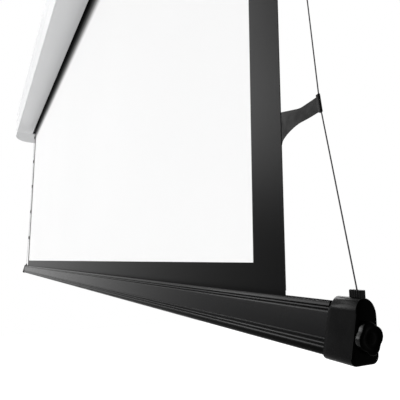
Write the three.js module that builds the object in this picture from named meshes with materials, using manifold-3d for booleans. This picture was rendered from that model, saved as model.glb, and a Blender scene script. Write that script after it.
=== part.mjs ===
// Tensioned motorized projector screen, lowered to its working height.
// Millimetres, +X along the screen, -Y towards the viewer, +Z up.
// The origin is the centre of the case's back face.
import * as THREE from "three";
import { mergeVertices } from "three/addons/utils/BufferGeometryUtils.js";
import Module from "manifold-3d";

const wasm = await Module();
wasm.setup();

// Driving dimensions
const clearance = 0.3;
const overrun = 1;

const picture = { width: 2214, height: 743.5 };
const sheet = {
  thickness: 0.5, sideBorder: 50, bottomBorder: 29, blackBelowCase: 38, backSetback: 44,
};
const shell = {
  sheetMargin: 98, rollFront: 14, height: 180, wall: 2.2, frontRadius: 18, footRadius: 3,
};
const slot = { front: 8, rear: 14, rearLip: 8, coverLip: 10 };
const ledge = { reach: 10, thickness: 2 };
const rail = { fromBack: 35, mouth: 8, cavityWidth: 18, cavityHeight: 5 };
const styling = { riseFromFoot: 81, pitch: 46, width: 2.4, depth: 0.7 };
const housing = { length: 215, wall: 3, cornerLength: 130, cornerDepth: 90 };
const tongue = { reach: 10, root: 14, thickness: 3, topRear: 60, rearHalf: 60 };
const plate = { thickness: 3, inset: 12, flange: 18, flangeRear: 60 };
const roller = { rise: 10, radius: 39, wall: 2, plateGap: 6 };
const roll = { radius: 40.45, innerGap: 0.3 };
const spool = { width: 18, flange: 2, flangeRadius: 46 };
const motor = { radius: 29.5, length: 546, bore: 8.4, boreDepth: 22 };
const motorHead = { radius: 32.5, reach: 32, flangeRadius: 45, flangeThickness: 4, chamfer: 3 };
const crown = { width: 12, gap: 0.4 };
const driveWheel = { width: 20, shaftRadius: 8, shaftLength: 20, webRadius: 14, webWidth: 8 };
const idler = {
  plugLength: 44, bearingWidth: 12, bearingRadius: 11, shaftRadius: 8, headRadius: 14, headLength: 5,
};
const limitScrew = {
  radius: 3, length: 9, spread: 24, drop: 15, slotWidth: 0.9, slotDepth: 1.4, proud: 1.5,
};
const accessHole = { radius: 4 };
const bar = {
  sheetMargin: 63.2, height: 39.7, rear: 8.2, front: 9.7, archRear: 6.5, archFront: 2.6,
  footFront: 16.3, footRise: 3.5, rearFoot: 3,
};
const hem = { rodRadius: 3.2, channelRadius: 3.6, slotWidth: 2.4, drop: 12, rodInset: 7 };
const weight = {
  radius: 7, endInset: 25.2, centre: -3, frontWall: 2.4, rearWall: 2, floor: 2.2, roof: 18,
};
const ridgeGroove = { depth: 0.9, width: 1.1, fineWidth: 0.6 };
const ridgeGrooveDrops = { upper: [3.4, 5.7, 8], fine: [26.8], lower: [29.9, 32.5, 35.4] };
const cap = {
  length: 28.7, shoulder: 5, lap: 0.9, roundOver: 2.2, rise: 4.5, drop: 2, rear: 8.8, front: 11.3,
  peak: -2.5, archRear: 12.5, archFront: 10.5, footFront: 18.3, footRise: 5.5, rearFoot: 5.5,
  spigot: 15,
};
const capStartShare = 0.75;
const guide = { width: 11, depth: 5.6, height: 5.4, sunk: 3.4, fromCapEnd: 9.8, ribs: 5, ribDepth: 0.3 };
const knob = { radius: 11.8, thickness: 5, lobes: 4, scallop: 2.4, chamfer: 1.2, drop: 22.5, centre: -4 };
const knobTurnShare = 1 / 24;
const scallopSoftShare = 0.22;
const spindle = { radius: 3, pocketRadius: 7, length: 17, pocketDepth: 18.2 };
const cord = { radius: 0.6, sides: 8, steps: 64 };
const cordHole = { radius: 1.2 };
const tab = {
  aboveWhiteFoot: 135.5, aboveWhiteTop: 1.6, overlap: 12, stripRise: 4, rootTop: 8.6, rootBottom: 24.5,
  neckTop: 3.6, tipTop: 6.8, tipBottom: 7.2,
};
const neckShare = 0.52;
const lowerEdgeShares = [[0.71, 0.37], [0.46, 0.42], [0.23, 0.57], [0.05, 0.79]];
const tabReaches = [53, 37.8, 32, 37.4, 52.4];
const clip = { length: 17, inboard: 3.1, outboard: 1.6, depth: 3.2, bore: 1, slit: 1.2 };
const bracket = {
  fromCaseEnd: 255, width: 70, thickness: 3, reach: 62, rise: 75, holeWidth: 9, holeLength: 24,
};
const clamp = {
  nutLength: 16, nutHeight: 4.4, shank: 2.5, hole: 3, headRadius: 5.5, headHeight: 4, headSides: 6,
};
const panScrew = { radius: 2, headRadius: 3.8, headHeight: 2.2, hole: 2.4, length: 9, fromBack: 92 };
const controlBox = { length: 120, depth: 42, height: 80, fromEnd: 35 };
const inlet = {
  cutWidth: 20, cutHeight: 27, flangeWidth: 25, flangeHeight: 34, flange: 2.2, fromBack: 27,
  recessWidth: 16, recessHeight: 24, recessDepth: 17, pinLength: 10, pinWidth: 2, pinHeight: 4,
  pinPitch: 7, earthOffset: 4, rise: 25,
};
const controlPort = {
  width: 12, height: 12, flangeWidth: 15, flangeHeight: 15, recessWidth: 7, recessHeight: 9,
  recessDepth: 11, rise: -12,
};
const lead = { radius: 2.5, sides: 8, rise: 18, steps: 12 };

// Segment counts
const roundSteps = { arc: 6, small: 12, large: 32, lobe: 12 };

// Places that follow from the driving dimensions
const fabricY = -sheet.backSetback;
const topZ = shell.height / 2;
const footZ = -shell.height / 2;
const slotFrontY = fabricY - slot.front;
const slotRearY = fabricY + slot.rear;
const woundRadius = roll.radius + clearance + sheet.thickness / 2;
const rollerY = fabricY - woundRadius;
const frontY = rollerY - woundRadius - shell.rollFront;
const flangeFrontY = frontY + shell.frontRadius;
const sheetHalf = picture.width / 2 + sheet.sideBorder;
const shellHalf = sheetHalf + shell.sheetMargin;
const plateOuterX = shellHalf - plate.inset;
const plateInnerX = plateOuterX - plate.thickness;
const rollerHalf = plateInnerX - roller.plateGap;
const endX = shellHalf + clearance + housing.length;
const barHalf = sheetHalf + bar.sheetMargin;
const capEndX = barHalf + clearance + cap.length;
const hemRodHalf = sheetHalf - hem.rodInset;
const ballastHalf = barHalf - weight.endInset;
const bracketX = shellHalf - bracket.fromCaseEnd;
const plateScrewX = plateInnerX - plate.flange / 2;
const tongueScrewX = shellHalf - tongue.reach / 2;
const cordX = capEndX - guide.fromCapEnd;
const spoolX = rollerHalf - spool.width / 2;
const faceSlope = (bar.footFront - bar.front) / (bar.height - bar.footRise - bar.archFront);

const whiteTopZ = footZ - sheet.blackBelowCase;
const whiteFootZ = whiteTopZ - picture.height;
const crestZ = whiteFootZ - sheet.bottomBorder;
const tabSpan = picture.height + tab.aboveWhiteTop - tab.aboveWhiteFoot;
const tabPitch = tabSpan / (tabReaches.length - 1);

const screen = new THREE.Group();
screen.name = "tensioned_projector_screen";

// Materials
function finish(color, roughness, metalness = 0) {
  return new THREE.MeshStandardMaterial({ color, roughness, metalness });
}

const finishes = {
  casePaint: () => finish(0xe4e5e6, 0.45, 0.2),
  coverPaint: () => finish(0xd8d9da, 0.5, 0.2),
  housingPlastic: () => finish(0xc9cacb, 0.5),
  steel: () => finish(0x8d9094, 0.4, 0.9),
  zinc: () => finish(0xb4b6b8, 0.45, 0.8),
  tube: () => finish(0xa9adb1, 0.4, 0.9),
  motorShell: () => finish(0xd6d7d8, 0.35, 0.7),
  whitePlastic: () => finish(0xe8e8e6, 0.5),
  greyPlastic: () => finish(0x5a5d60, 0.55),
  blackPlastic: () => finish(0x0d0d0e, 0.5),
  blackRubber: () => finish(0x111112, 0.8),
  white: () => finish(0xfafafa, 0.9),
  black: () => finish(0x141414, 0.85),
  cord: () => finish(0x2a2a2b, 0.6),
  barPaint: () => finish(0x1a1a1b, 0.42, 0.3),
  brass: () => finish(0xc2a253, 0.4, 0.8),
};

// Solid helpers: closed meshes in, closed meshes out
function toSolid(geometry) {
  const bare = geometry.clone();
  bare.deleteAttribute("normal");
  bare.deleteAttribute("uv");
  const merged = mergeVertices(bare);
  return new wasm.Manifold(new wasm.Mesh({
    numProp: 3,
    vertProperties: new Float32Array(merged.attributes.position.array),
    triVerts: new Uint32Array(merged.index.array),
  }));
}

function toGeometry(solid) {
  const mesh = solid.getMesh();
  const geometry = new THREE.BufferGeometry();
  geometry.setAttribute("position", new THREE.BufferAttribute(new Float32Array(mesh.vertProperties), 3));
  geometry.setIndex(new THREE.BufferAttribute(new Uint32Array(mesh.triVerts), 1));
  geometry.computeVertexNormals();
  return geometry;
}

function cut(geometry, ...cutters) {
  return toGeometry(cutters.reduce((solid, cutter) => solid.subtract(toSolid(cutter)), toSolid(geometry)));
}

function join(geometry, ...others) {
  return toGeometry(others.reduce((solid, other) => solid.add(toSolid(other)), toSolid(geometry)));
}

function common(geometry, other) {
  return toGeometry(toSolid(geometry).intersect(toSolid(other)));
}

function shapeOf(points) {
  return new THREE.Shape(points.map(([across, up]) => new THREE.Vector2(across, up)));
}

// A (Y, Z) outline drawn along X
function alongX(points, fromX, toX) {
  const geometry = new THREE.ExtrudeGeometry(shapeOf(points), { depth: toX - fromX, bevelEnabled: false });
  const turn = new THREE.Matrix4().makeBasis(
    new THREE.Vector3(0, 1, 0), new THREE.Vector3(0, 0, 1), new THREE.Vector3(1, 0, 0));
  return geometry.applyMatrix4(turn).translate(fromX, 0, 0);
}

// An (X, Z) outline drawn along Y, from its rear face towards the viewer
function alongY(points, frontFaceY, rearFaceY, holes = []) {
  const shape = shapeOf(points);
  shape.holes = holes.map(shapeOf);
  const depth = rearFaceY - frontFaceY;
  const geometry = new THREE.ExtrudeGeometry(shape, { depth, bevelEnabled: false });
  return geometry.rotateX(Math.PI / 2).translate(0, rearFaceY, 0);
}

// An (X, Y) outline drawn along Z
function alongZ(points, fromZ, toZ) {
  const geometry = new THREE.ExtrudeGeometry(shapeOf(points), { depth: toZ - fromZ, bevelEnabled: false });
  return geometry.translate(0, 0, fromZ);
}

function box([fromX, toX], [fromY, toY], [fromZ, toZ]) {
  const geometry = new THREE.BoxGeometry(toX - fromX, toY - fromY, toZ - fromZ);
  return geometry.translate((fromX + toX) / 2, (fromY + toY) / 2, (fromZ + toZ) / 2);
}

function rodX(radius, fromX, toX, y, z, sides = roundSteps.large) {
  const geometry = new THREE.CylinderGeometry(radius, radius, toX - fromX, sides);
  return geometry.rotateZ(Math.PI / 2).translate((fromX + toX) / 2, y, z);
}

function rodZ(radius, fromZ, toZ, x, y, sides = roundSteps.small) {
  const geometry = new THREE.CylinderGeometry(radius, radius, toZ - fromZ, sides);
  return geometry.rotateX(Math.PI / 2).translate(x, y, (fromZ + toZ) / 2);
}

function ringX(outer, inner, fromX, toX) {
  const profile = [[inner, fromX], [outer, fromX], [outer, toX], [inner, toX], [inner, fromX]];
  const points = profile.map(([radius, along]) => new THREE.Vector2(radius, along));
  return new THREE.LatheGeometry(points, roundSteps.large).rotateZ(-Math.PI / 2);
}

function turnedX(profile, sides = roundSteps.large) {
  const points = profile.map(([radius, along]) => new THREE.Vector2(radius, along));
  return new THREE.LatheGeometry(points, sides).rotateZ(-Math.PI / 2);
}

function arc(centreY, centreZ, radiusY, radiusZ, fromTurn, toTurn, steps = roundSteps.arc) {
  const points = [];
  for (let step = 0; step <= steps; step += 1) {
    const angle = 2 * Math.PI * (fromTurn + ((toTurn - fromTurn) * step) / steps);
    points.push([centreY + radiusY * Math.cos(angle), centreZ + radiusZ * Math.sin(angle)]);
  }
  return points;
}

// The same piece for the other end of the screen
function mirrored(geometry) {
  const copy = geometry.clone();
  if (!copy.index) {
    copy.setIndex([...Array(copy.attributes.position.count).keys()]);
  }
  copy.scale(-1, 1, 1);
  const order = copy.index.array;
  for (let corner = 0; corner < order.length; corner += 3) {
    [order[corner], order[corner + 1]] = [order[corner + 1], order[corner]];
  }
  copy.computeVertexNormals();
  return copy;
}

function place(name, geometry, material, parent = screen) {
  const mesh = new THREE.Mesh(geometry, material());
  mesh.name = name;
  parent.add(mesh);
  return mesh;
}

function placePair(name, rightGeometry, material, parent = screen) {
  place(`${name}_right`, rightGeometry, material, parent);
  place(`${name}_left`, mirrored(rightGeometry), material, parent);
}

// Groups that hold the pieces about their own axis or datum
const rollerGroup = new THREE.Group();
rollerGroup.position.set(0, rollerY, roller.rise);
const sheetGroup = new THREE.Group();
sheetGroup.position.set(0, fabricY, 0);
const barGroup = new THREE.Group();
barGroup.position.set(0, fabricY, crestZ);
screen.add(rollerGroup, sheetGroup, barGroup);

// Case: one C-shaped extrusion, open below, with a rail for the brackets on top
function shellOutline() {
  const { wall, frontRadius } = shell;
  const innerTop = topZ - wall;
  const innerRadius = frontRadius - wall;
  const railRear = -rail.fromBack + rail.cavityWidth / 2;
  const railFront = -rail.fromBack - rail.cavityWidth / 2;
  const railFloor = innerTop - rail.cavityHeight;
  const ledgeTop = footZ + wall + clearance + ledge.thickness;
  return [
    [slotRearY, footZ],
    [0, footZ],
    [0, topZ],
    [-rail.fromBack + rail.mouth / 2, topZ],
    [-rail.fromBack + rail.mouth / 2, innerTop],
    [railRear, innerTop],
    [railRear, railFloor],
    [railFront, railFloor],
    [railFront, innerTop],
    [-rail.fromBack - rail.mouth / 2, innerTop],
    [-rail.fromBack - rail.mouth / 2, topZ],
    ...arc(frontY + frontRadius, topZ - frontRadius, frontRadius, frontRadius, 0.25, 0.5),
    ...frontGrooves(),
    [frontY, footZ],
    [frontY + wall, footZ],
    [frontY + wall, footZ + wall + clearance],
    [frontY + wall + ledge.reach, footZ + wall + clearance],
    [frontY + wall + ledge.reach, ledgeTop],
    [frontY + wall, ledgeTop],
    ...arc(frontY + frontRadius, topZ - frontRadius, innerRadius, innerRadius, 0.5, 0.25),
    [railFront - wall, innerTop],
    [railFront - wall, railFloor - wall],
    [railRear + wall, railFloor - wall],
    [railRear + wall, innerTop],
    [-wall, innerTop],
    [-wall, footZ + wall],
    [slotRearY + wall, footZ + wall],
    [slotRearY + wall, footZ + slot.rearLip],
    [slotRearY, footZ + slot.rearLip],
  ];
}

// Two shallow lines along the front face
function frontGrooves() {
  const points = [];
  for (const rise of [styling.riseFromFoot + styling.pitch, styling.riseFromFoot]) {
    const middle = footZ + rise;
    points.push([frontY, middle + styling.width / 2]);
    points.push([frontY + styling.depth, middle]);
    points.push([frontY, middle - styling.width / 2]);
  }
  return points;
}

// A hole at each end of the screen for a screw at this place
function screwHoles(x, fromZ, toZ) {
  return [x, -x].map((centreX) => rodZ(panScrew.hole, fromZ, toZ, centreX, -panScrew.fromBack));
}

// Pan-head screw; direction is 1 with its head on top and -1 with it below
function screwSolid(x, seatZ, direction) {
  const seat = seatZ + direction * clearance;
  const headZ = [seat, seat + direction * panScrew.headHeight];
  const shankZ = [seatZ - direction * panScrew.length, seat + (direction * panScrew.headHeight) / 2];
  return join(
    rodZ(panScrew.headRadius, Math.min(...headZ), Math.max(...headZ), x, -panScrew.fromBack),
    rodZ(panScrew.radius, Math.min(...shankZ), Math.max(...shankZ), x, -panScrew.fromBack));
}

function buildCase() {
  const body = alongX(shellOutline(), -shellHalf, shellHalf);
  const topSpan = [topZ - shell.wall - overrun, topZ + overrun];
  const holes = [...screwHoles(plateScrewX, ...topSpan), ...screwHoles(tongueScrewX, ...topSpan)];
  place("case_shell", cut(body, ...holes), finishes.casePaint);

  const coverFront = frontY + shell.wall + clearance;
  const cover = alongX([
    [coverFront, footZ],
    [slotFrontY, footZ],
    [slotFrontY, footZ + slot.coverLip],
    [slotFrontY - shell.wall, footZ + slot.coverLip],
    [slotFrontY - shell.wall, footZ + shell.wall],
    [coverFront, footZ + shell.wall],
  ], -shellHalf, shellHalf);
  const coverHoles = screwHoles(plateScrewX, footZ - overrun, footZ + shell.wall + overrun);
  place("case_bottom_cover", cut(cover, ...coverHoles), finishes.coverPaint);

  placePair("plate_screw", screwSolid(plateScrewX, topZ, 1), finishes.zinc);
  placePair("housing_screw", screwSolid(tongueScrewX, topZ, 1), finishes.zinc);
  placePair("cover_screw", screwSolid(plateScrewX, footZ, -1), finishes.zinc);
}

// End housings: moulded cups with a swept front corner
function housingSolid(inset) {
  const startX = shellHalf + clearance;
  const radius = shell.frontRadius - inset;
  const section = alongX([
    [-inset, footZ + inset],
    [-inset, topZ - inset],
    ...arc(frontY + shell.frontRadius, topZ - shell.frontRadius, radius, radius, 0.25, 0.5),
    ...arc(frontY + inset + shell.footRadius, footZ + inset + shell.footRadius,
      shell.footRadius, shell.footRadius, 0.5, 0.75, 2),
  ], inset ? startX - overrun : startX, endX + overrun);
  const cornerX = endX - housing.cornerLength;
  const cornerY = frontY + housing.cornerDepth;
  const plan = alongZ([
    [startX - 2 * overrun, overrun],
    [startX - 2 * overrun, frontY - overrun],
    [cornerX, frontY - overrun],
    ...arc(cornerX, cornerY, housing.cornerLength - inset, housing.cornerDepth - inset, 0.75, 1, 12),
    [endX - inset, overrun],
  ], footZ - overrun, topZ + overrun);
  return common(section, plan);
}

function housingShell() {
  const startX = shellHalf + clearance;
  const tongueX = [shellHalf - tongue.reach, startX + tongue.root];
  const topOuter = topZ - shell.wall - clearance;
  const rearOuter = -shell.wall - clearance;
  const topTongue = box(
    tongueX, [flangeFrontY, -tongue.topRear], [topOuter - tongue.thickness, topOuter]);
  const rearTongue = box(
    tongueX, [rearOuter - tongue.thickness, rearOuter], [-tongue.rearHalf, tongue.rearHalf]);
  const hollow = cut(housingSolid(0), housingSolid(housing.wall));
  const pilot = rodZ(
    panScrew.hole, topOuter - tongue.thickness - overrun, topOuter + overrun, tongueScrewX,
    -panScrew.fromBack);
  return cut(join(hollow, topTongue, rearTongue), pilot);
}

function limitScrewPlaces() {
  return [-limitScrew.spread / 2, limitScrew.spread / 2].map((offset) => [
    rollerY + offset, roller.rise - limitScrew.drop]);
}

function buildHousings() {
  const right = housingShell();
  place("end_housing_right", right, finishes.housingPlastic);
  const inletY = -inlet.fromBack;
  const wallX = [-endX - overrun, -endX + housing.wall + overrun];
  const inletCut = box(
    wallX,
    [inletY - inlet.cutWidth / 2, inletY + inlet.cutWidth / 2],
    [inlet.rise - inlet.cutHeight / 2, inlet.rise + inlet.cutHeight / 2]);
  const portCut = box(
    wallX,
    [inletY - controlPort.width / 2, inletY + controlPort.width / 2],
    [controlPort.rise - controlPort.height / 2, controlPort.rise + controlPort.height / 2]);
  const access = limitScrewPlaces().map(([y, z]) => rodX(
    accessHole.radius, -endX - overrun, -endX + housing.cornerDepth, y, z, roundSteps.small));
  place("end_housing_left", cut(mirrored(right), inletCut, portCut, ...access), finishes.housingPlastic);
}

// Support plates just inside the ends of the case
function supportPlate(holeRadius) {
  const gap = shell.wall + clearance;
  const bottom = footZ + gap;
  const plateTop = topZ - rail.cavityHeight - 2 * shell.wall - clearance;
  const underTop = topZ - gap;
  const body = alongX([
    [-gap, bottom + slot.coverLip],
    [-gap, plateTop],
    [-plate.flangeRear, plateTop],
    [-plate.flangeRear, underTop],
    [flangeFrontY, underTop],
    [frontY + gap, topZ - shell.frontRadius],
    [frontY + gap, bottom + ledge.reach],
    [flangeFrontY, bottom + ledge.reach],
    [flangeFrontY, bottom],
    [-plate.flangeRear, bottom],
    [-plate.flangeRear, bottom + slot.coverLip],
  ], plateInnerX, plateOuterX);
  const flangeX = [plateInnerX - plate.flange, plateInnerX + plate.thickness / 2];
  const flangeY = [flangeFrontY, -plate.flangeRear];
  const topFlange = box(flangeX, flangeY, [underTop - plate.thickness, underTop]);
  const footFlange = box(flangeX, flangeY, [bottom, bottom + plate.thickness]);
  const hole = rodX(
    holeRadius, plateInnerX - overrun, plateOuterX + overrun, rollerY, roller.rise);
  const [topHole] = screwHoles(plateScrewX, underTop - plate.thickness - overrun, underTop + overrun);
  const [footHole] = screwHoles(plateScrewX, bottom - overrun, bottom + plate.thickness + overrun);
  return cut(join(body, topFlange, footFlange), hole, topHole, footHole);
}

// Roller: tube, the turns of fabric left on it, and the cord spools at its ends
function buildRoller() {
  const tubeInner = roller.radius - roller.wall;
  const insert = tubeInner - clearance;
  place("roller_tube", ringX(roller.radius, tubeInner, -rollerHalf, rollerHalf),
    finishes.tube, rollerGroup);
  place("fabric_roll", ringX(roll.radius, roller.radius + roll.innerGap, -sheetHalf, sheetHalf),
    finishes.black, rollerGroup);

  const drum = woundRadius - cord.radius - clearance;
  const spoolInner = roller.radius + roll.innerGap;
  const spoolStart = rollerHalf - spool.width;
  placePair("cord_spool", turnedX([
    [spoolInner, spoolStart],
    [spool.flangeRadius, spoolStart],
    [spool.flangeRadius, spoolStart + spool.flange],
    [drum, spoolStart + spool.flange],
    [drum, rollerHalf - spool.flange],
    [spool.flangeRadius, rollerHalf - spool.flange],
    [spool.flangeRadius, rollerHalf],
    [spoolInner, rollerHalf],
    [spoolInner, spoolStart],
  ]), finishes.blackPlastic, rollerGroup);

  const crownInner = motor.radius + crown.gap;
  place("crown_ring", ringX(insert, crownInner, -rollerHalf, -rollerHalf + crown.width),
    finishes.greyPlastic, rollerGroup);

  const motorEnd = -rollerHalf + motor.length;
  const wheelStart = motorEnd + clearance;
  const wheelEnd = wheelStart + driveWheel.width;
  const webFrom = wheelStart + (driveWheel.width - driveWheel.webWidth) / 2;
  const webTo = webFrom + driveWheel.webWidth;
  const rimInner = insert - driveWheel.webWidth / 2;
  place("drive_wheel", turnedX([
    [0, wheelStart - driveWheel.shaftLength],
    [driveWheel.shaftRadius, wheelStart - driveWheel.shaftLength],
    [driveWheel.shaftRadius, wheelStart],
    [driveWheel.webRadius, wheelStart],
    [driveWheel.webRadius, webFrom],
    [rimInner, webFrom],
    [rimInner, wheelStart],
    [insert, wheelStart],
    [insert, wheelEnd],
    [rimInner, wheelEnd],
    [rimInner, webTo],
    [driveWheel.webRadius, webTo],
    [driveWheel.webRadius, wheelEnd],
    [0, wheelEnd],
  ]), finishes.greyPlastic, rollerGroup);

  const plugStart = rollerHalf - idler.plugLength;
  const seatStart = rollerHalf - idler.bearingWidth - clearance;
  place("idler_plug", turnedX([
    [0, plugStart],
    [insert, plugStart],
    [insert, rollerHalf],
    [idler.bearingRadius + clearance, rollerHalf],
    [idler.bearingRadius + clearance, seatStart],
    [idler.shaftRadius + 2 * clearance, seatStart],
    [idler.shaftRadius + 2 * clearance, plugStart + idler.headLength],
    [0, plugStart + idler.headLength],
  ]), finishes.greyPlastic, rollerGroup);
  place("idler_bearing",
    ringX(idler.bearingRadius, idler.shaftRadius + clearance, seatStart + clearance, rollerHalf),
    finishes.brass, rollerGroup);
}

// Fixed ends of the drive: motor, its head and the idler shaft
function buildDrive() {
  const drive = new THREE.Group();
  drive.position.copy(rollerGroup.position);
  screen.add(drive);

  const motorStart = -rollerHalf;
  const motorEnd = motorStart + motor.length;
  place("motor_tube", turnedX([
    [0, motorStart],
    [motor.radius, motorStart],
    [motor.radius, motorEnd],
    [motor.bore, motorEnd],
    [motor.bore, motorEnd - motor.boreDepth],
    [0, motorEnd - motor.boreDepth],
  ]), finishes.motorShell, drive);

  const flangeFace = -plateOuterX - clearance;
  const headOuter = -plateOuterX - motorHead.reach;
  const headInner = motorStart - clearance;
  const head = turnedX([
    [0, headOuter],
    [motorHead.radius - motorHead.chamfer, headOuter],
    [motorHead.radius, headOuter + motorHead.chamfer],
    [motorHead.radius, flangeFace - motorHead.flangeThickness],
    [motorHead.flangeRadius, flangeFace - motorHead.flangeThickness],
    [motorHead.flangeRadius, flangeFace],
    [motorHead.radius, flangeFace],
    [motorHead.radius, headInner],
    [0, headInner],
  ]);
  const pockets = limitScrewPlaces().map(([y, z]) => rodX(
    limitScrew.radius + clearance, headOuter - overrun, headOuter + limitScrew.length,
    y - rollerY, z - roller.rise, roundSteps.small));
  place("motor_head", cut(head, ...pockets), finishes.whitePlastic, drive);

  limitScrewPlaces().forEach(([y, z], index) => {
    const from = headOuter - limitScrew.proud;
    const to = headOuter + limitScrew.length - clearance;
    const centreY = y - rollerY;
    const centreZ = z - roller.rise;
    const body = rodX(limitScrew.radius, from, to, centreY, centreZ, roundSteps.small);
    const reach = limitScrew.radius + overrun;
    const slotCut = box(
      [from - overrun, from + limitScrew.slotDepth],
      [centreY - reach, centreY + reach],
      [centreZ - limitScrew.slotWidth / 2, centreZ + limitScrew.slotWidth / 2]);
    place(index ? "limit_screw_down" : "limit_screw_up", cut(body, slotCut), finishes.brass, drive);
  });

  const headFrom = plateOuterX + clearance;
  place("idler_shaft", turnedX([
    [0, rollerHalf - idler.plugLength + idler.headLength + clearance],
    [idler.shaftRadius, rollerHalf - idler.plugLength + idler.headLength + clearance],
    [idler.shaftRadius, headFrom],
    [idler.headRadius, headFrom],
    [idler.headRadius, headFrom + idler.headLength],
    [0, headFrom + idler.headLength],
  ]), finishes.steel, drive);
}

// Electrics in the left housing
function socket(size, centreZ) {
  const centreY = -inlet.fromBack;
  const outer = -endX - clearance;
  const back = -endX + controlBox.fromEnd - clearance;
  const bodyY = size.width / 2 - clearance;
  const bodyZ = size.height / 2 - clearance;
  const flange = box(
    [outer - inlet.flange, outer],
    [centreY - size.flangeWidth / 2, centreY + size.flangeWidth / 2],
    [centreZ - size.flangeHeight / 2, centreZ + size.flangeHeight / 2]);
  const body = box(
    [outer - inlet.flange / 2, back],
    [centreY - bodyY, centreY + bodyY],
    [centreZ - bodyZ, centreZ + bodyZ]);
  const recess = box(
    [outer - inlet.flange - overrun, outer - inlet.flange + size.recessDepth],
    [centreY - size.recessWidth / 2, centreY + size.recessWidth / 2],
    [centreZ - size.recessHeight / 2, centreZ + size.recessHeight / 2]);
  return cut(join(flange, body), recess);
}

function inletPins() {
  const floorX = -endX - clearance - inlet.flange + inlet.recessDepth;
  const pinX = [floorX - inlet.pinLength, floorX + overrun];
  return [-1, 0, 1].map((step) => {
    const y = -inlet.fromBack + (step === 0 ? inlet.earthOffset / 2 : -inlet.earthOffset / 2);
    const z = inlet.rise + step * inlet.pinPitch;
    return box(
      pinX,
      [y - inlet.pinHeight / 2, y + inlet.pinHeight / 2],
      [z - inlet.pinWidth / 2, z + inlet.pinWidth / 2]);
  });
}

function buildElectrics() {
  const inletSize = {
    width: inlet.cutWidth, height: inlet.cutHeight, flangeWidth: inlet.flangeWidth,
    flangeHeight: inlet.flangeHeight, recessWidth: inlet.recessWidth, recessHeight: inlet.recessHeight,
    recessDepth: inlet.recessDepth,
  };
  place("power_inlet", join(socket(inletSize, inlet.rise), ...inletPins()), finishes.blackPlastic);
  place("control_socket", socket(controlPort, controlPort.rise), finishes.greyPlastic);

  const boxBack = -endX + controlBox.fromEnd;
  const boxRear = -housing.wall - clearance;
  place("control_box", box(
    [boxBack, boxBack + controlBox.length],
    [boxRear - controlBox.depth, boxRear],
    [-controlBox.height / 2, controlBox.height / 2]), finishes.greyPlastic);

  const startX = -plateOuterX - motorHead.reach - clearance;
  const endOfLeadX = boxBack + controlBox.length + clearance;
  const run = startX - endOfLeadX;
  const leadZ = roller.rise + lead.rise;
  const boxY = boxRear - controlBox.depth / 2;
  const straight = 2 * lead.radius;
  const points = [
    [startX, rollerY],
    [startX - straight, rollerY],
    [startX - run / 2, (rollerY + boxY) / 2],
    [endOfLeadX + straight, boxY],
    [endOfLeadX, boxY],
  ].map(([x, y]) => new THREE.Vector3(x, y, leadZ));
  place("motor_lead", tube(points, lead.radius, lead.sides, lead.steps), finishes.blackRubber);
}

// A round tube along a path; slack 0 keeps the path's runs straight
function tube(points, radius, sides, steps, slack = 0.5) {
  const section = new THREE.Shape(arc(0, 0, radius, radius, 0, 1, sides)
    .slice(0, sides)
    .map(([across, up]) => new THREE.Vector2(across, up)));
  const path = new THREE.CatmullRomCurve3(points, false, "catmullrom", slack);
  return new THREE.ExtrudeGeometry(section, { steps, bevelEnabled: false, extrudePath: path });
}

// Sheet: white picture area in a black border, tangent to the roller and held in the bar
function buildSheet() {
  const half = picture.width / 2;
  const faces = [-sheet.thickness / 2, sheet.thickness / 2];
  const window = [[-half, whiteFootZ], [half, whiteFootZ], [half, whiteTopZ], [-half, whiteTopZ]];
  place("viewing_surface", alongY(window, ...faces), finishes.white, sheetGroup);
  const hemZ = crestZ - hem.drop + hem.rodRadius + clearance;
  place("black_border", alongY([
    [-sheetHalf, hemZ],
    [sheetHalf, hemZ],
    [sheetHalf, roller.rise],
    [-sheetHalf, roller.rise],
  ], ...faces, [window]), finishes.black, sheetGroup);
}

// Side tabs: one strip a side, welded behind the border, and a sleeve on each tip for the cord
function tabTips() {
  return tabReaches.map((reach, index) => ({
    reach,
    x: sheetHalf + reach,
    z: whiteFootZ + tab.aboveWhiteFoot + index * tabPitch,
  }));
}

// The cord's lean at a sleeve is the mean of its runs below and above
function cordLean(tips, index) {
  const below = index > 0 ? tips[index - 1] : { x: cordX, z: crestZ + cap.rise + guide.height };
  const above = index < tips.length - 1 ? tips[index + 1] : { x: spoolX, z: roller.rise };
  const here = tips[index];
  const lower = Math.atan2(here.x - below.x, here.z - below.z);
  const upper = Math.atan2(above.x - here.x, above.z - here.z);
  return (lower + upper) / 2;
}

function tabStrip() {
  const inner = sheetHalf - tab.overlap;
  const tips = tabTips();
  const outline = [[inner, crestZ + tab.stripRise], [sheetHalf, crestZ + tab.stripRise]];
  tips.forEach(({ reach, x, z }, index) => {
    const lean = cordLean(tips, index);
    const edge = x - clip.inboard + clip.slit - clearance;
    outline.push([sheetHalf, z - tab.rootBottom]);
    for (const [alongShare, downShare] of [...lowerEdgeShares].reverse()) {
      outline.push([sheetHalf + alongShare * reach, z - downShare * tab.rootBottom]);
    }
    outline.push([edge - Math.tan(lean) * tab.tipBottom, z - tab.tipBottom]);
    outline.push([edge + Math.tan(lean) * tab.tipTop, z + tab.tipTop]);
    outline.push([sheetHalf + neckShare * reach, z + tab.neckTop]);
    outline.push([sheetHalf, z + tab.rootTop]);
  });
  outline.push([sheetHalf, roller.rise], [inner, roller.rise]);
  return alongY(outline, sheet.thickness / 2, 3 * sheet.thickness / 2);
}

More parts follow.
